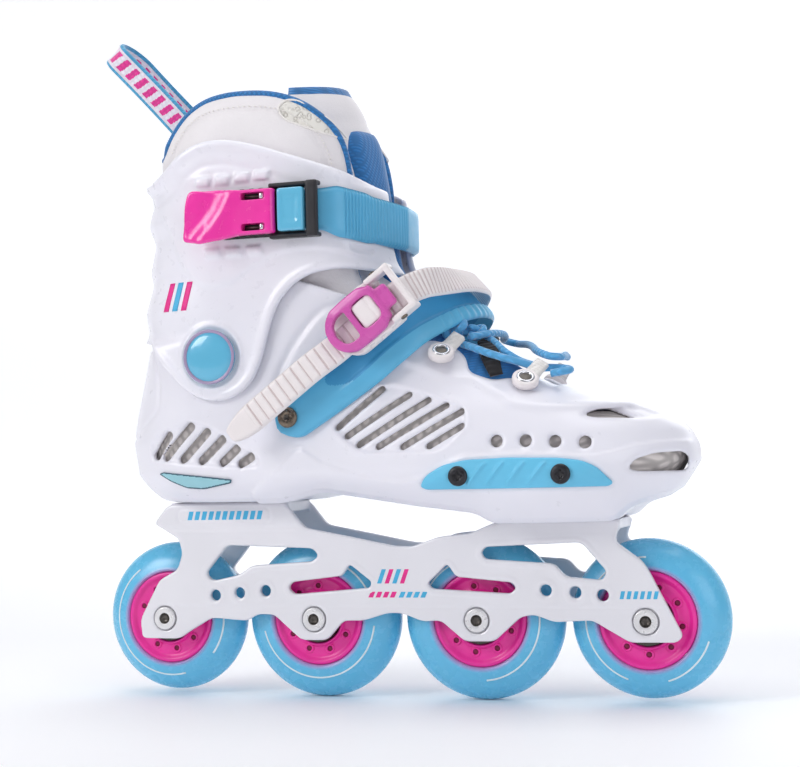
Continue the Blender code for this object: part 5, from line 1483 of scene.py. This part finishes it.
def guards():
    """Side guards that follow the boot, each with two bolts."""
    step = 0.55
    for sign, side in ((-1, "outer"), (1, "inner")):
        lo, hi = (20.0, 38.0, 93.0), (108.0, 54.0, 111.5)
        x, y, z = axes(lo, hi, step)
        outer = boot_field(x, y, z, step)
        px, pz = x[:, None], z[None, :]
        outline = sd_poly(px, pz, rounded(GUARD_OUTLINE, 2.5, 4))
        lift = 2.9 - 0.9 * ramp(outline + 5.0, 0.0, 5.0)
        for a, b in GUARD_RIDGES:
            lift = lift + 1.1 * bell(d_line(px, pz, [a, b]), 0.7) * ramp(-outline, 0.8, 2.6)
        skin = outer - lift[:, None, :]
        d = smax(skin, 0.55 - outer, 0.5)
        d = smax(d, outline[:, None, :], 1.3)
        for c in GUARD_SCREWS:
            r = np.hypot(px - c.x, pz - c.z)
            seat = smax((r - 4.9)[:, None, :], 2.6 - outer, 0.4)
            d = smax(d, -seat, 0.4)
        verts, quads = nets(d, lo, step)
        mirror = verts.copy()
        if sign < 0:
            mirror[:, 1] = 2 * centre_line(verts[:, 0]) - verts[:, 1]
            quads = quads[:, ::-1]
        piece("toe_guard_" + side, mirror, quads, [guard_blue], "boot", "guard_" + side)
        for c, end in zip(GUARD_SCREWS, ("rear", "front")):
            mid = float(centre_line(c.x))
            y0 = HEAD_SEAT + side_y(c.x, c.z)
            screw("guard_bolt_%s_%s" % (side, end), (c.x, mid + sign * y0, c.z), (0, sign, 0), 4.3, 1.5,
                  [screw_black, black_plastic], "boot", "guard_screw_%s_%s" % (side, end), 6.0)


def screw(name, at, axis, r, high, looks, body, node, stem, drive="cross", socket=2.4):
    """Domed head with a cross or hex socket and a plain stem."""
    inner = slot_drive(drive, socket)
    profile = [(2.0, -stem), (2.0, 0.0), (r * 0.97, 0.0), (r, 0.25)]
    profile += arc_points(r * 0.72, high - r * 0.30, r * 0.28, 0, 80, 4)
    profile += [(r * 0.62, high + 0.04)]
    count = len(profile)
    profile += [(socket, high), (socket * 0.9, high - 0.7), (0.25, high - 0.75)]

    def radius_at(index, radius, t):
        return min(inner(t), r * 0.6) if count <= index < count + 2 else radius
    v, f = lathe(profile, at, axis, 48, radius_at)
    # painted shade: the socket faces take the second, darker look
    which = []
    for index in range(len(profile) - 1):
        which += [1 if index >= count else 0] * 48
    piece(name, v, f, looks, body, node, which + [0, 1])


def inlays():
    """Flush teal panel with a dark edge, low on each side of the heel."""
    outline = [(-106.4, 105.2), (-103.6, 106.0), (-85, 104.0), (-67.9, 102.0), (-68.6, 100.3), (-83, 97.7),
               (-91.7, 98.3), (-99.3, 101.3)]
    step = 0.34
    for sign, side in ((-1, "outer"), (1, "inner")):
        lo, hi = (-109.0, 18.0, 95.0), (-65.0, 42.5, 108.5)
        x, y, z = axes(lo, hi, step)
        outer = boot_field(x, y, z, step)
        shape = sd_poly(x[:, None], z[None, :], rounded(outline, 2.0, 4))
        d = smax(outer - 0.9, 0.25 - outer, 0.3)
        d = smax(d, shape[:, None, :], 0.5)
        verts, quads = nets(d, lo, step)
        c = centres(verts, quads)
        which = (sd_poly(c[:, 0], c[:, 2], rounded(outline, 2.0, 4)) > -0.62).astype(int)
        if sign < 0:
            verts[:, 1] *= -1
            quads = quads[:, ::-1]
        piece("heel_panel_" + side, verts, quads, [inlay_teal, inlay_edge], "boot",
              "heel_inlay_" + side, which)


def pivot_caps():
    """Domed cap in a grey ring over each ankle pivot."""
    for sign, side in ((-1, "outer"), (1, "inner")):
        base = 43.3
        profile = [(4.9, -7.0), (4.9, 0.0), (12.4, 0.0), (12.4, 1.2)]
        profile += arc_points(11.9, 1.3, 0.5, 0, 90, 3) + [(11.2, 1.7), (11.0, 1.2), (10.8, 1.3)]
        rim = len(profile) - 2
        for k in range(1, 7):
            a = math.radians(90 * k / 6)
            profile.append((10.6 - 10.3 * (1 - math.cos(a)), 1.35 + 1.4 * math.sin(a)))
        v, f = lathe(profile, (PIVOT.x, sign * base, PIVOT.z), (0, sign, 0), 72)
        which = []
        for index in range(len(profile) - 1):
            which += [0 if index < 3 or index >= rim else 1] * 72
        piece("pivot_button_" + side, v, f, [pivot_blue, rim_grey], "cuff",
              "pivot_cap_" + side, which + [0, 0])


# ------------------------------------------------------------------ buckles
BASE_Y = -46.3
HINGE = Vector((-41.0, BASE_Y - 6.2))
LEVER_OUT = [(-79.3, 231.4), (-64.2, 231.3), (-56.0, 230.2), (-36.0, 230.2), (-36.0, 210.5), (-56.0, 210.4),
             (-62.3, 209.0), (-75.9, 207.5), (-82.6, 208.9), (-83.1, 211.0), (-81.1, 225.9)]


def box_field(x, y, z, low, high, r):
    """Rounded box on a grid."""
    parts = []
    for axis, grid in enumerate((x, y, z)):
        shape = [1, 1, 1]
        shape[axis] = -1
        c, half = 0.5 * (low[axis] + high[axis]), 0.5 * (high[axis] - low[axis]) - r
        parts.append((np.abs(grid - c) - half).reshape(shape))
    q = [np.maximum(p, 0.0) for p in parts]
    outside = np.sqrt(q[0] ** 2 + q[1] ** 2 + q[2] ** 2)
    inside = np.minimum(np.maximum(np.maximum(parts[0], parts[1]), parts[2]), 0.0)
    return outside + inside - r


def cuff_buckle():
    """Lever with its pins, base, slider and the bolt on the far side."""
    step = 0.45
    lo, hi = (-85.0, -57.5, 205.5), (-36.5, -47.5, 233.5)
    x, y, z = axes(lo, hi, step)
    outline = sd_poly(x[:, None], z[None, :], rounded(LEVER_OUT, 3.2, 6))
    nose = [(HINGE.x + 2.4 * math.cos(a), HINGE.y + 2.4 * math.sin(a))
            for a in (math.radians(-90 + 15 * k) for k in range(13))]
    section = nose + [(-55, BASE_Y - 3.8), (-61, BASE_Y - 5.4), (-72, BASE_Y - 6.2), (-90, BASE_Y - 5.6),
                      (-90, BASE_Y - 8.2), (-72, BASE_Y - 9.2), (-58, BASE_Y - 8.6)]
    cross = sd_poly(x[:, None], y[None, :], section)
    d = smax(outline[:, None, :], cross[:, :, None], 1.8)
    px, pz = x[:, None], z[None, :]
    valley = d_line(px, pz, [(-66.5, 231.0), (-69.0, 225.0), (-73.0, 218.5), (-79.0, 212.5)])
    crest = d_line(px, pz, [(-59.5, 227.0), (-63.5, 220.0), (-68.5, 214.0), (-74.5, 209.5)])
    relief = 1.3 * bell(valley, 5.5) - 0.7 * bell(crest, 3.5)
    near_face = ramp(BASE_Y - 6.9 - y, -0.6, 1.0)
    d = d + relief[:, None, :] * near_face[None, :, None]
    for cz in (213.4, 227.2):
        slot = np.maximum(np.abs(x + 48.4) - 4.6, 0)[:, None, None] ** 2
        gap = np.sqrt(slot + np.maximum(np.abs(z - cz) - 0.7, 0)[None, None, :] ** 2) - 0.9
        d = smax(d, -gap, 0.5)
    verts, quads = nets(d, lo, step)
    origin = (HINGE.x, HINGE.y, 220.5)
    piece("ankle_lever", verts, quads, [pink_gloss], "cuff_lever", "cuff_buckle_lever", origin=origin)
    parts = []
    for cz in (213.4, 227.2):
        v, f = lathe([(1.2, -1.35), (1.35, -1.2), (1.35, 1.2), (1.2, 1.35)],
                     (-44.6, HINGE.y - 0.4, cz), (0, 0, 1), 20)
        parts.append((v, f, 0))
        v, f = lathe([(0.5, -4.2), (0.5, 4.2)], (-48.6, HINGE.y + 0.3, cz), (1, 0, 0), 12)
        parts.append((v, f, 1))
    v, f, m = joined(parts)
    piece("ankle_lever_pins", v, f, [steel, steel_dark], "cuff_lever", which=m, slot="cuff_buckle_lever")

    lo, hi = (-68.0, -54.6, 206.5), (-17.2, -40.5, 234.5)
    x, y, z = axes(lo, hi, step)
    d = box_field(x, y, z, (-66, BASE_Y - 2.8, 209.4), (-26.2, BASE_Y, 231.6), 0.9)
    for z0 in (208.0, 230.7):
        d = smin(d, box_field(x, y, z, (-42, BASE_Y - 5.6, z0), (-18.6, BASE_Y - 1.0, z0 + 2.0), 0.7), 0.6)
    d = smin(d, box_field(x, y, z, (-24.0, BASE_Y - 7.4, 208.0), (-18.6, BASE_Y - 4.4, 232.7), 0.9), 0.6)
    stud = np.maximum((np.hypot(x[:, None] + 52.0, z[None, :] - 220.5) - 2.0)[:, None, :],
                      (y - BASE_Y)[None, :, None] - 4.6)
    stud = np.maximum(stud, (BASE_Y - 1.0 - y)[None, :, None])
    d = np.minimum(d, stud)
    for k in range(5):
        cx = -64.0 + 4.6 * k
        for z0 in (209.4, 231.6):
            notch = box_field(x, y, z, (cx, BASE_Y - 3.4, z0 - 0.9), (cx + 2.2, BASE_Y - 1.2, z0 + 0.9), 0.2)
            d = smax(d, -notch, 0.3)
    verts, quads = nets(d, lo, step)
    piece("ankle_buckle_base", verts, quads, [black_plastic], "cuff", "cuff_buckle_base")

    lo, hi = (-40.0, -57.0, 208.5), (-22.0, -47.5, 232.0)
    x, y, z = axes(lo, hi, step)
    low, high = ([p[a] / MM - (MID_Y if a == 1 else 0) for a in range(3)]
                 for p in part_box("cuff_buckle_slider"))
    d = box_field(x, y, z, low, high, 1.1)
    dish = 0.35 * ramp(7.0 - np.abs(z - 220.3), 0.0, 3.0)[None, None, :]
    dish = dish * ramp(4.6 - np.abs(x + 31.2), 0, 2)[:, None, None]
    d = d + dish * ramp(-(y - (low[1] + 1.0)), -1.0, 1.0)[None, :, None]
    verts, quads = nets(d, lo, step)
    piece("ankle_slider", verts, quads, [pivot_blue], "cuff", "cuff_buckle_slider")
    screw("ankle_strap_bolt", (-52.0, 49.9, 220.5), (0, 1, 0), 4.7, 1.5, [steel, steel_dark], "cuff",
          "cuff_strap_screw", 7.0, "hex", 1.9)


def strap_block(name, d, lo, step, looks, body, node, origin=None):
    """A field made in strap coordinates (along, out, across) set in place on the boot."""
    verts, quads = nets(d, lo, step)
    x, z = on_strap(verts[:, 0], verts[:, 2])
    piece(name, np.stack([x, verts[:, 1], z], axis=1), quads, looks, body, node, origin=origin)


def instep_buckle():
    """Ratchet lever, release button, base and rivets."""
    step = 0.42
    lo, hi = (-17.5, -59.5, -14.5), (26.5, -46.0, 14.5)
    s, y, t = axes(lo, hi, step)
    nose = [(-16.2, 0.0), (-15.4, 4.6), (-12.6, 8.4), (-8.4, 10.9), (-1.0, 11.2), (8.0, 11.0), (11.2, 8.8),
            (13.0, 8.4), (13.4, 5.2), (18.6, 5.2), (18.6, -5.2), (13.4, -5.2), (13.0, -8.4), (11.2, -8.8),
            (8.0, -11.0), (-1.0, -11.2), (-8.4, -10.9), (-12.6, -8.4), (-15.4, -4.6)]
    ps, pt = s[:, None], t[None, :]
    outline = sd_poly(ps, pt, rounded(nose, 1.6, 5))
    window = sd_poly(ps, pt, rounded([(-0.3, -6.6), (-0.3, 6.6), (10.8, 6.2), (10.8, -6.2)], 4.0, 5))
    lower = sd_poly(ps, pt, rounded([(-12.6, 0), (-11.0, 4.8), (-8.2, 6.6), (-3.0, 7.0), (-3.0, -7.0),
                                     (-8.2, -6.6), (-11.0, -4.8)], 1.6, 4))
    hole = np.minimum(window, lower)
    top = -57.55 + 0.9 * ramp(pt * pt / 125.0, 0.3, 1.2) + 1.1 * ramp(-ps, 6.0, 16.0)
    top = top + ramp(ps, 12.2, 13.6)
    bottom = -53.65
    d = smax(top[:, None, :] - y[None, :, None], (y - bottom)[None, :, None], 0.8)
    d = smax(d, outline[:, None, :], 1.8)
    d = smax(d, -hole[:, None, :], 1.0)
    pin = Vector((*on_strap(16.5, 0.0), 0.0))
    origin = (pin.x, -55.6, pin.y)
    strap_block("instep_lever_cover", d, lo, step, [mauve_gloss], "instep_lever", "instep_lever", origin)

    button = box_field(s, y, t, (0.3, -57.05, -6.0), (10.6, -54.0, 6.0), 1.2)
    dome = 0.7 * (((ps - 5.4) / 6.0) ** 2 + (pt / 7.0) ** 2)
    button = smax(button, (-57.1 + dome)[:, None, :] - y[None, :, None], 0.8)
    groove = bell(ps - 7.6, 0.5) * 0.35
    button = button + groove[:, None, :] * ramp(-y, 55.6, 56.6)[None, :, None]
    at = on_strap(6.0, 0.0)
    strap_block("instep_button_cap", button, lo, step, [ladder_white], "instep_button", "instep_button",
                (at[0], -55.6, at[1]))

    d = box_field(s, y, t, (-13.4, -49.6, -12.4), (16.0, -47.4, 12.4), 0.9)
    for sign in (-1, 1):
        wall = box_field(s, y, t, (-7.0, -55.6, sign * 10.4 - 1.3), (24.6, -47.8, sign * 10.4 + 1.3), 0.9)
        cut = box_field(s, y, t, (-9.0, -57.6, sign * 10.4 - 3.0), (11.6, -53.2, sign * 10.4 + 3.0), 1.0)
        d = smin(d, smax(wall, -cut, 0.5), 0.8)
        skirt = box_field(s, y, t, (-13.4, -52.6, sign * 10.2 - 2.4), (15.0, -47.6, sign * 10.2 + 2.4), 1.6)
        d = smin(d, skirt, 1.0)
        for k in range(3):
            notch = box_field(s, y, t, (-4.0 + 6.4 * k, -53.2, sign * 12.6 - 0.8),
                              (-1.0 + 6.4 * k, -50.2, sign * 12.6 + 0.8), 0.3)
            d = smax(d, -notch, 0.3)
    bridge = box_field(s, y, t, (21.6, -55.6, -11.6), (24.6, -52.4, 11.6), 0.9)
    d = smin(d, bridge, 0.8)
    round_end = sd_poly(ps, pt, rounded([(-13.6, -9), (-13.6, 9), (-8, 12.7), (30, 12.7), (30, -12.7),
                                         (-8, -12.7)], 3, 4))
    d = smax(d, round_end[:, None, :], 0.8)
    strap_block("instep_buckle_base", d, lo, step, [ladder_white], "boot", "instep_buckle")
    parts = []
    for sign in (-1, 1):
        at = on_strap(16.5, sign * 11.8)
        direction = (-STRAP_Z * sign, 0.0, STRAP_X * sign)
        v, f = lathe([(1.5, -1.2), (1.7, 0.2), (1.5, 0.6), (0.6, 0.75)], (at[0], -53.4, at[1]), direction, 24)
        parts.append((v, f, 0))
    v, f, m = joined(parts)
    piece("instep_buckle_pin", v, f, [aged_silver], "boot", which=m, slot="instep_rivet_outer")
    for sign, side in ((-1, "outer"), (1, "inner")):
        screw("instep_stud_" + side, (-37.0, sign * 47.0, 129.0), (0, sign, 0), 4.6, 1.6,
              [aged_silver, steel_dark], "boot", "instep_rivet_" + side, 8.0, "hex", 1.2)


# ------------------------------------------------------------------ lace, loops, eyelets
LOOP_PLACES = (("rear", (31.4, 33.0, 154.0)), ("front", (67.0, 27.4, 141.2)))


def lace_loops():
    """Tape loops with eyelets that carry the lace."""
    for sign, side in ((-1, "outer"), (1, "inner")):
        for end, (x, y, z) in LOOP_PLACES:
            mid = float(centre_line(x))
            foot = np.array((x, sign * (y + 2.4) + mid, z + 1.2))
            top = np.array((x + 5.0, sign * (y - 5.0) + mid, z + 6.6))
            o = np.array((0.25, sign * 0.62, 0.74))
            o /= np.linalg.norm(o)
            along = (top - foot) / np.linalg.norm(top - foot)
            across = np.cross(o, along)
            stations = [foot - along * 5.4, foot - along * 2.0, foot + along * 2.5, foot + along * 5.2,
                        top - along * 1.2, top + along * 0.9]
            lifts = [0.0, 0.1, 0.2, 0.5, 1.5, 1.9]
            widths = [7.4, 9.4, 8.6, 7.4, 7.2, 7.0]
            rows = dense([(*(p + o * q), w) for p, q, w in zip(stations, lifts, widths)], 0.4)

            def height(s, v):
                return (1.5 + 0.16 * math.cos(2 * math.pi * s / 1.2)) * rounded_edge(v, 8.0)
            v1, f1, _ = strip(rows[:, :3], [tuple(across)] * len(rows), [tuple(o)] * len(rows), rows[:, 3],
                               height, 12)
            ring = foot - along * 0.6 + o * 1.3
            eyelet = [(1.9, -3.0), (2.1, 0.2)] + arc_points(3.2, 0.5, 0.9, 180, 0, 5) + [(4.2, 0.0)]
            v2, f2 = lathe(eyelet, ring, tuple(o), 36)
            cup = arc_points(4.6, 0.0, 1.3, 170, 0, 6)
            v3, f3 = lathe([(4.2, -1.8)] + cup + [(5.9, -1.8)], ring - o * 0.2, tuple(o), 40)
            v4, f4 = lathe([(3.1, 0.2), (3.0, 0.75), (2.2, 1.0), (1.0, 1.1), (0.2, 1.12)], ring, tuple(o), 28)
            v, f, m = joined([(v1, f1, 0), (v2, f2, 1), (v3, f3, 2), (v4, f4, 3)])
            piece("lace_tab_%s_%s" % (side, end), v, f, [tape_white, steel, ladder_white, steel_dark], "boot",
                  "lace_loop_%s_%s" % (side, end), m)


LACE = [(42.0, -27.0, 162.2), (48.0, -17, 164.0), (50.5, -3, 164.6), (48.5, 11, 164.2), (45.5, 21, 163.4),
        (51, 24, 161.6), (58, 13, 160.4), (64, -2, 158.4), (69, -14, 155.4), (75.5, -20.0, 152.8),
        (80, -16, 152.4), (79, -4, 153.4), (77, 8, 154.4), (76, 17, 154.0)]
LACE_R = 1.7


def lace():
    """The lace that crosses over the tongue."""
    path = [tuple(p) for p in smoothed(LACE, 12)]
    v, f = tube(path, LACE_R, 14)
    ob = piece("lace_cord", v, f, [lace_blue], "boot", "lace")
    points = place(path)
    tuple(points[0])
    [tuple(p) for p in points]


def knot(name, middle, size, thick):
    """Overhand knot: a three-lobed closed cord."""
    path = []
    for k in range(72):
        t = 2 * math.pi * k / 72
        path.append((middle[0] + size * (math.sin(t) + 2 * math.sin(2 * t)),
                     middle[1] - size * 1.1 * math.sin(3 * t),
                     middle[2] + size * 0.72 * (math.cos(t) - 2 * math.cos(2 * t))))
    path.append(path[0])
    v, f = tube(path, thick, 12)
    piece(name, v, f, [lace_blue], "boot", slot="lace")


NEAR_STRAND = [(31.0, -23.6, 163.0), (36.6, -25.4, 159.8), (42.5, -28.4, 157.8), (50.0, -29.0, 154.8),
               (58.0, -27.4, 152.0), (64.5, -24.6, 150.0), (70.5, -20.4, 147.8), (76.0, -18.0, 147.7),
               (81.4, -17.2, 147.2), (84.8, -20.2, 146.4), (82.2, -23.6, 145.6), (77.0, -23.8, 144.9)]
CROSS_STRAND = [(36.0, -20.0, 165.0), (43.0, -14.0, 164.2), (50.0, -18.0, 160.6), (56.0, -22.5, 155.6),
                (62.0, -23.0, 151.6), (67.0, -20.5, 149.4), (72.0, -18.0, 148.0)]


def flap(name, stations, look, lean=0.75):
    """A short strip of cloth in the open throat, seen from the outer side."""
    rows = dense(stations, 0.6)
    across, outward = [], []
    for k in range(len(rows)):
        out = np.array((0.2, -0.65, lean))
        along = rows[min(k + 1, len(rows) - 1), :3] - rows[max(k - 1, 0), :3]
        side = np.cross(out, along)
        across.append(tuple(side / np.linalg.norm(side)))
        outward.append(tuple(out / np.linalg.norm(out)))
    v, f, _ = strip(rows[:, :3], across, outward, rows[:, 3], lambda s, v: 1.2 * rounded_edge(v, 8.0), 12)
    piece(name, v, f, [look], "boot", slot="tongue")


def lace_strands():
    """Loose runs of lace, their knots and the cloth in the open throat."""
    for name, points in (("lace_near", NEAR_STRAND), ("lace_cross", CROSS_STRAND)):
        path = [tuple(p) for p in smoothed(points, 10)]
        v, f = tube(path, LACE_R, 12)
        ob = piece(name, v, f, [lace_blue], "boot", slot="lace")
        run = place(path)
        tuple(run[0])
        [tuple(p) for p in run]
    knot("lace_knot", (33.0, -23.0, 166.6), 2.0, 1.75)
    knot("lace_knot_small", (42.5, -18.0, 165.0), 1.3, 1.5)
    flap("throat_tab", [(46.0, -8.0, 162.5, 9.0), (47.5, -17.0, 160.0, 9.5), (49.5, -24.0, 155.5, 9.0),
                        (52.0, -28.5, 150.0, 7.5), (54.5, -30.5, 144.5, 6.0)], black_mesh)
    flap("throat_gusset", [(22.0, -22.0, 164.0, 9.0), (31.0, -26.0, 158.5, 13.0), (41.0, -26.6, 153.0, 17.0),
                           (50.0, -26.0, 148.0, 19.0), (59.0, -24.0, 144.5, 15.0), (68.0, -19.0, 141.5, 8.0)],
         lining_blue, lean=0.45)


def on_surface(name, surface, bars, looks, body, slot):
    """Thin slanted bars laid on the outer side of a finished piece."""
    tree = BVHTree.FromPolygons([tuple(p) for p in surface[0]], [tuple(q) for q in surface[1]])
    parts = []
    for cx, cz, wide, high, lean, look in bars:
        rows, columns = 9, 5
        verts = []
        for lift in (0.14, -0.1):
            for i in range(rows):
                t = i / (rows - 1) - 0.5
                for j in range(columns):
                    x = cx + wide * (j / (columns - 1) - 0.5) + 2 * lean * t
                    z = cz + high * t
                    hit = tree.ray_cast(Vector((x, -90.0, z)), Vector((0, 1, 0)))[0]
                    verts.append((x, hit.y - lift, z))
        faces = slab_faces(rows, columns - 1, columns, rows * columns)
        parts.append((verts, faces, look))
    v, f, m = joined(parts)
    piece(name, v, f, looks, body, which=m, slot=slot)


CUFF_MARKS = [(-97.5, 186.0, 3.0, 13.0, 1.8, 1), (-92.5, 186.0, 3.0, 13.0, 1.8, 0),
              (-87.5, 186.0, 3.0, 13.0, 1.8, 1)]


# ------------------------------------------------------------------ camera, light, floor
CAMERA_AT = (224.85, -704.81, 112.55)
CAMERA_TURN = (-17.6542, 2.4443, -1.4881)     # yaw, pitch and roll in degrees
CAMERA_LENS, CAMERA_SENSOR = 71.98, 36.0
LIGHTS = (("overhead", (0.0, -0.1, 1.5), (0, 0, 0.1), (1.3, 1.1), 9.6, (1, 1, 1)),
          ("key", (-1.1, -1.2, 0.9), (0, 0, 0.15), (0.7, 0.7), 11.0, (1.0, 0.985, 0.97)),
          ("fill", (1.3, -1.1, 0.6), (0, 0, 0.13), (0.9, 0.9), 4.5, (0.93, 0.95, 1.0)),
          ("back", (0.2, 1.4, 0.9), (0, 0, 0.15), (1.6, 0.9), 5.0, (0.95, 0.97, 1.0)))
WORLD_COLOUR, WORLD_STRENGTH = (0.93, 0.94, 1.0, 1.0), 0.36


def studio():
    """The camera, the lights, the world and a pale floor that curves up behind; it glows a little there."""
    scene = bpy.context.scene
    scene.view_settings.view_transform = "Standard"
    yaw, pitch, roll = (math.radians(a) for a in CAMERA_TURN)
    forward = Vector((math.sin(yaw) * math.cos(pitch), math.cos(yaw) * math.cos(pitch), math.sin(pitch)))
    right = Vector((math.cos(yaw), -math.sin(yaw), 0.0))
    up = right.cross(forward)
    right2 = right * math.cos(roll) + up * math.sin(roll)
    up2 = up * math.cos(roll) - right * math.sin(roll)
    camera = bpy.data.cameras.new("camera")
    camera.lens, camera.sensor_width, camera.sensor_fit = CAMERA_LENS, CAMERA_SENSOR, "HORIZONTAL"
    camera.clip_start, camera.clip_end = 0.05, 20.0
    ob = bpy.data.objects.new("camera", camera)
    scene.collection.objects.link(ob)
    at = Vector(place([CAMERA_AT])[0])
    turn = Matrix((right2, up2, -forward)).transposed().to_4x4()
    ob.matrix_world = Matrix.Translation(at) @ turn
    scene.camera = ob

    for name, at, aim, size, power, colour in LIGHTS:
        lamp = bpy.data.lights.new(name, "AREA")
        lamp.shape = "RECTANGLE"
        lamp.size, lamp.size_y = size
        lamp.energy = power
        lamp.color = colour
        node = bpy.data.objects.new(name, lamp)
        scene.collection.objects.link(node)
        node.location = Vector(at)
        node.rotation_euler = (Vector(aim) - Vector(at)).to_track_quat("-Z", "Y").to_euler()

    world = bpy.data.worlds.new("studio")
    world.use_nodes = True
    background = world.node_tree.nodes["Background"]
    background.inputs["Color"].default_value = WORLD_COLOUR
    background.inputs["Strength"].default_value = WORLD_STRENGTH
    scene.world = world

    width, depth, rise, bend = 6.0, 3.0, 3.0, 0.8
    line = [(-2.0, 0.0)] + [(depth - bend + bend * math.sin(a), bend - bend * math.cos(a))
                            for a in (math.radians(90 * k / 16) for k in range(17))] + [(depth, rise)]
    verts = [(x, y, z) for y, z in line for x in (-width, width)]
    faces = [[2 * k, 2 * k + 1, 2 * k + 3, 2 * k + 2] for k in range(len(line) - 1)]
    mesh = bpy.data.meshes.new("floor")
    mesh.from_pydata(verts, [], faces)
    mesh.polygons.foreach_set("use_smooth", np.ones(len(faces), bool))
    floor_look = Look("floor_paper", (0.93, 0.935, 0.95, 1.0), 0.6)
    floor_look.put(Emission_Color=(0.96, 0.97, 1.0, 1.0))
    spot = floor_look.tree.nodes.new("ShaderNodeSeparateXYZ")
    floor_look.tree.links.new(floor_look.coords.outputs["Object"], spot.inputs["Vector"])
    floor_look.tree.links.new(floor_look.ramp(spot.outputs["Y"], 0.2, 1.6, 0.03, 0.5),
                              floor_look.bsdf.inputs["Emission Strength"])
    mesh.materials.append(floor_look.finish(0.004, 3.0, 0.05, 400.0, wear=0.0))
    floor = bpy.data.objects.new("floor", mesh)
    scene.collection.objects.link(floor)


def hidden_metal():
    """Looks for the small CAD pieces that stay as they are: bearings, spacers and frame bolts."""
    for name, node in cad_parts.items():
        if "bearing" in name or "spacer" in name or "frame_bolt" in name:
            node.data.materials.clear()
            node.data.materials.append(steel_dark if "bearing" in name else steel)


studio()
hidden_metal()
shell_piece()
cuff_mesh = cuff_piece()
liner_piece()
liner_trim()
tongue_piece()
tongue_front()
footbed()
cuff_strap()
instep_pad()
instep_ladder()
pull_loop()
for number in range(4):
    wheel(number)
frame_piece()
guards()
inlays()
pivot_caps()
cuff_buckle()
instep_buckle()
lace_loops()
lace()
lace_strands()
on_surface("cuff_marks", cuff_mesh, CUFF_MARKS, [mark_blue, mark_pink], "cuff", "cuff")
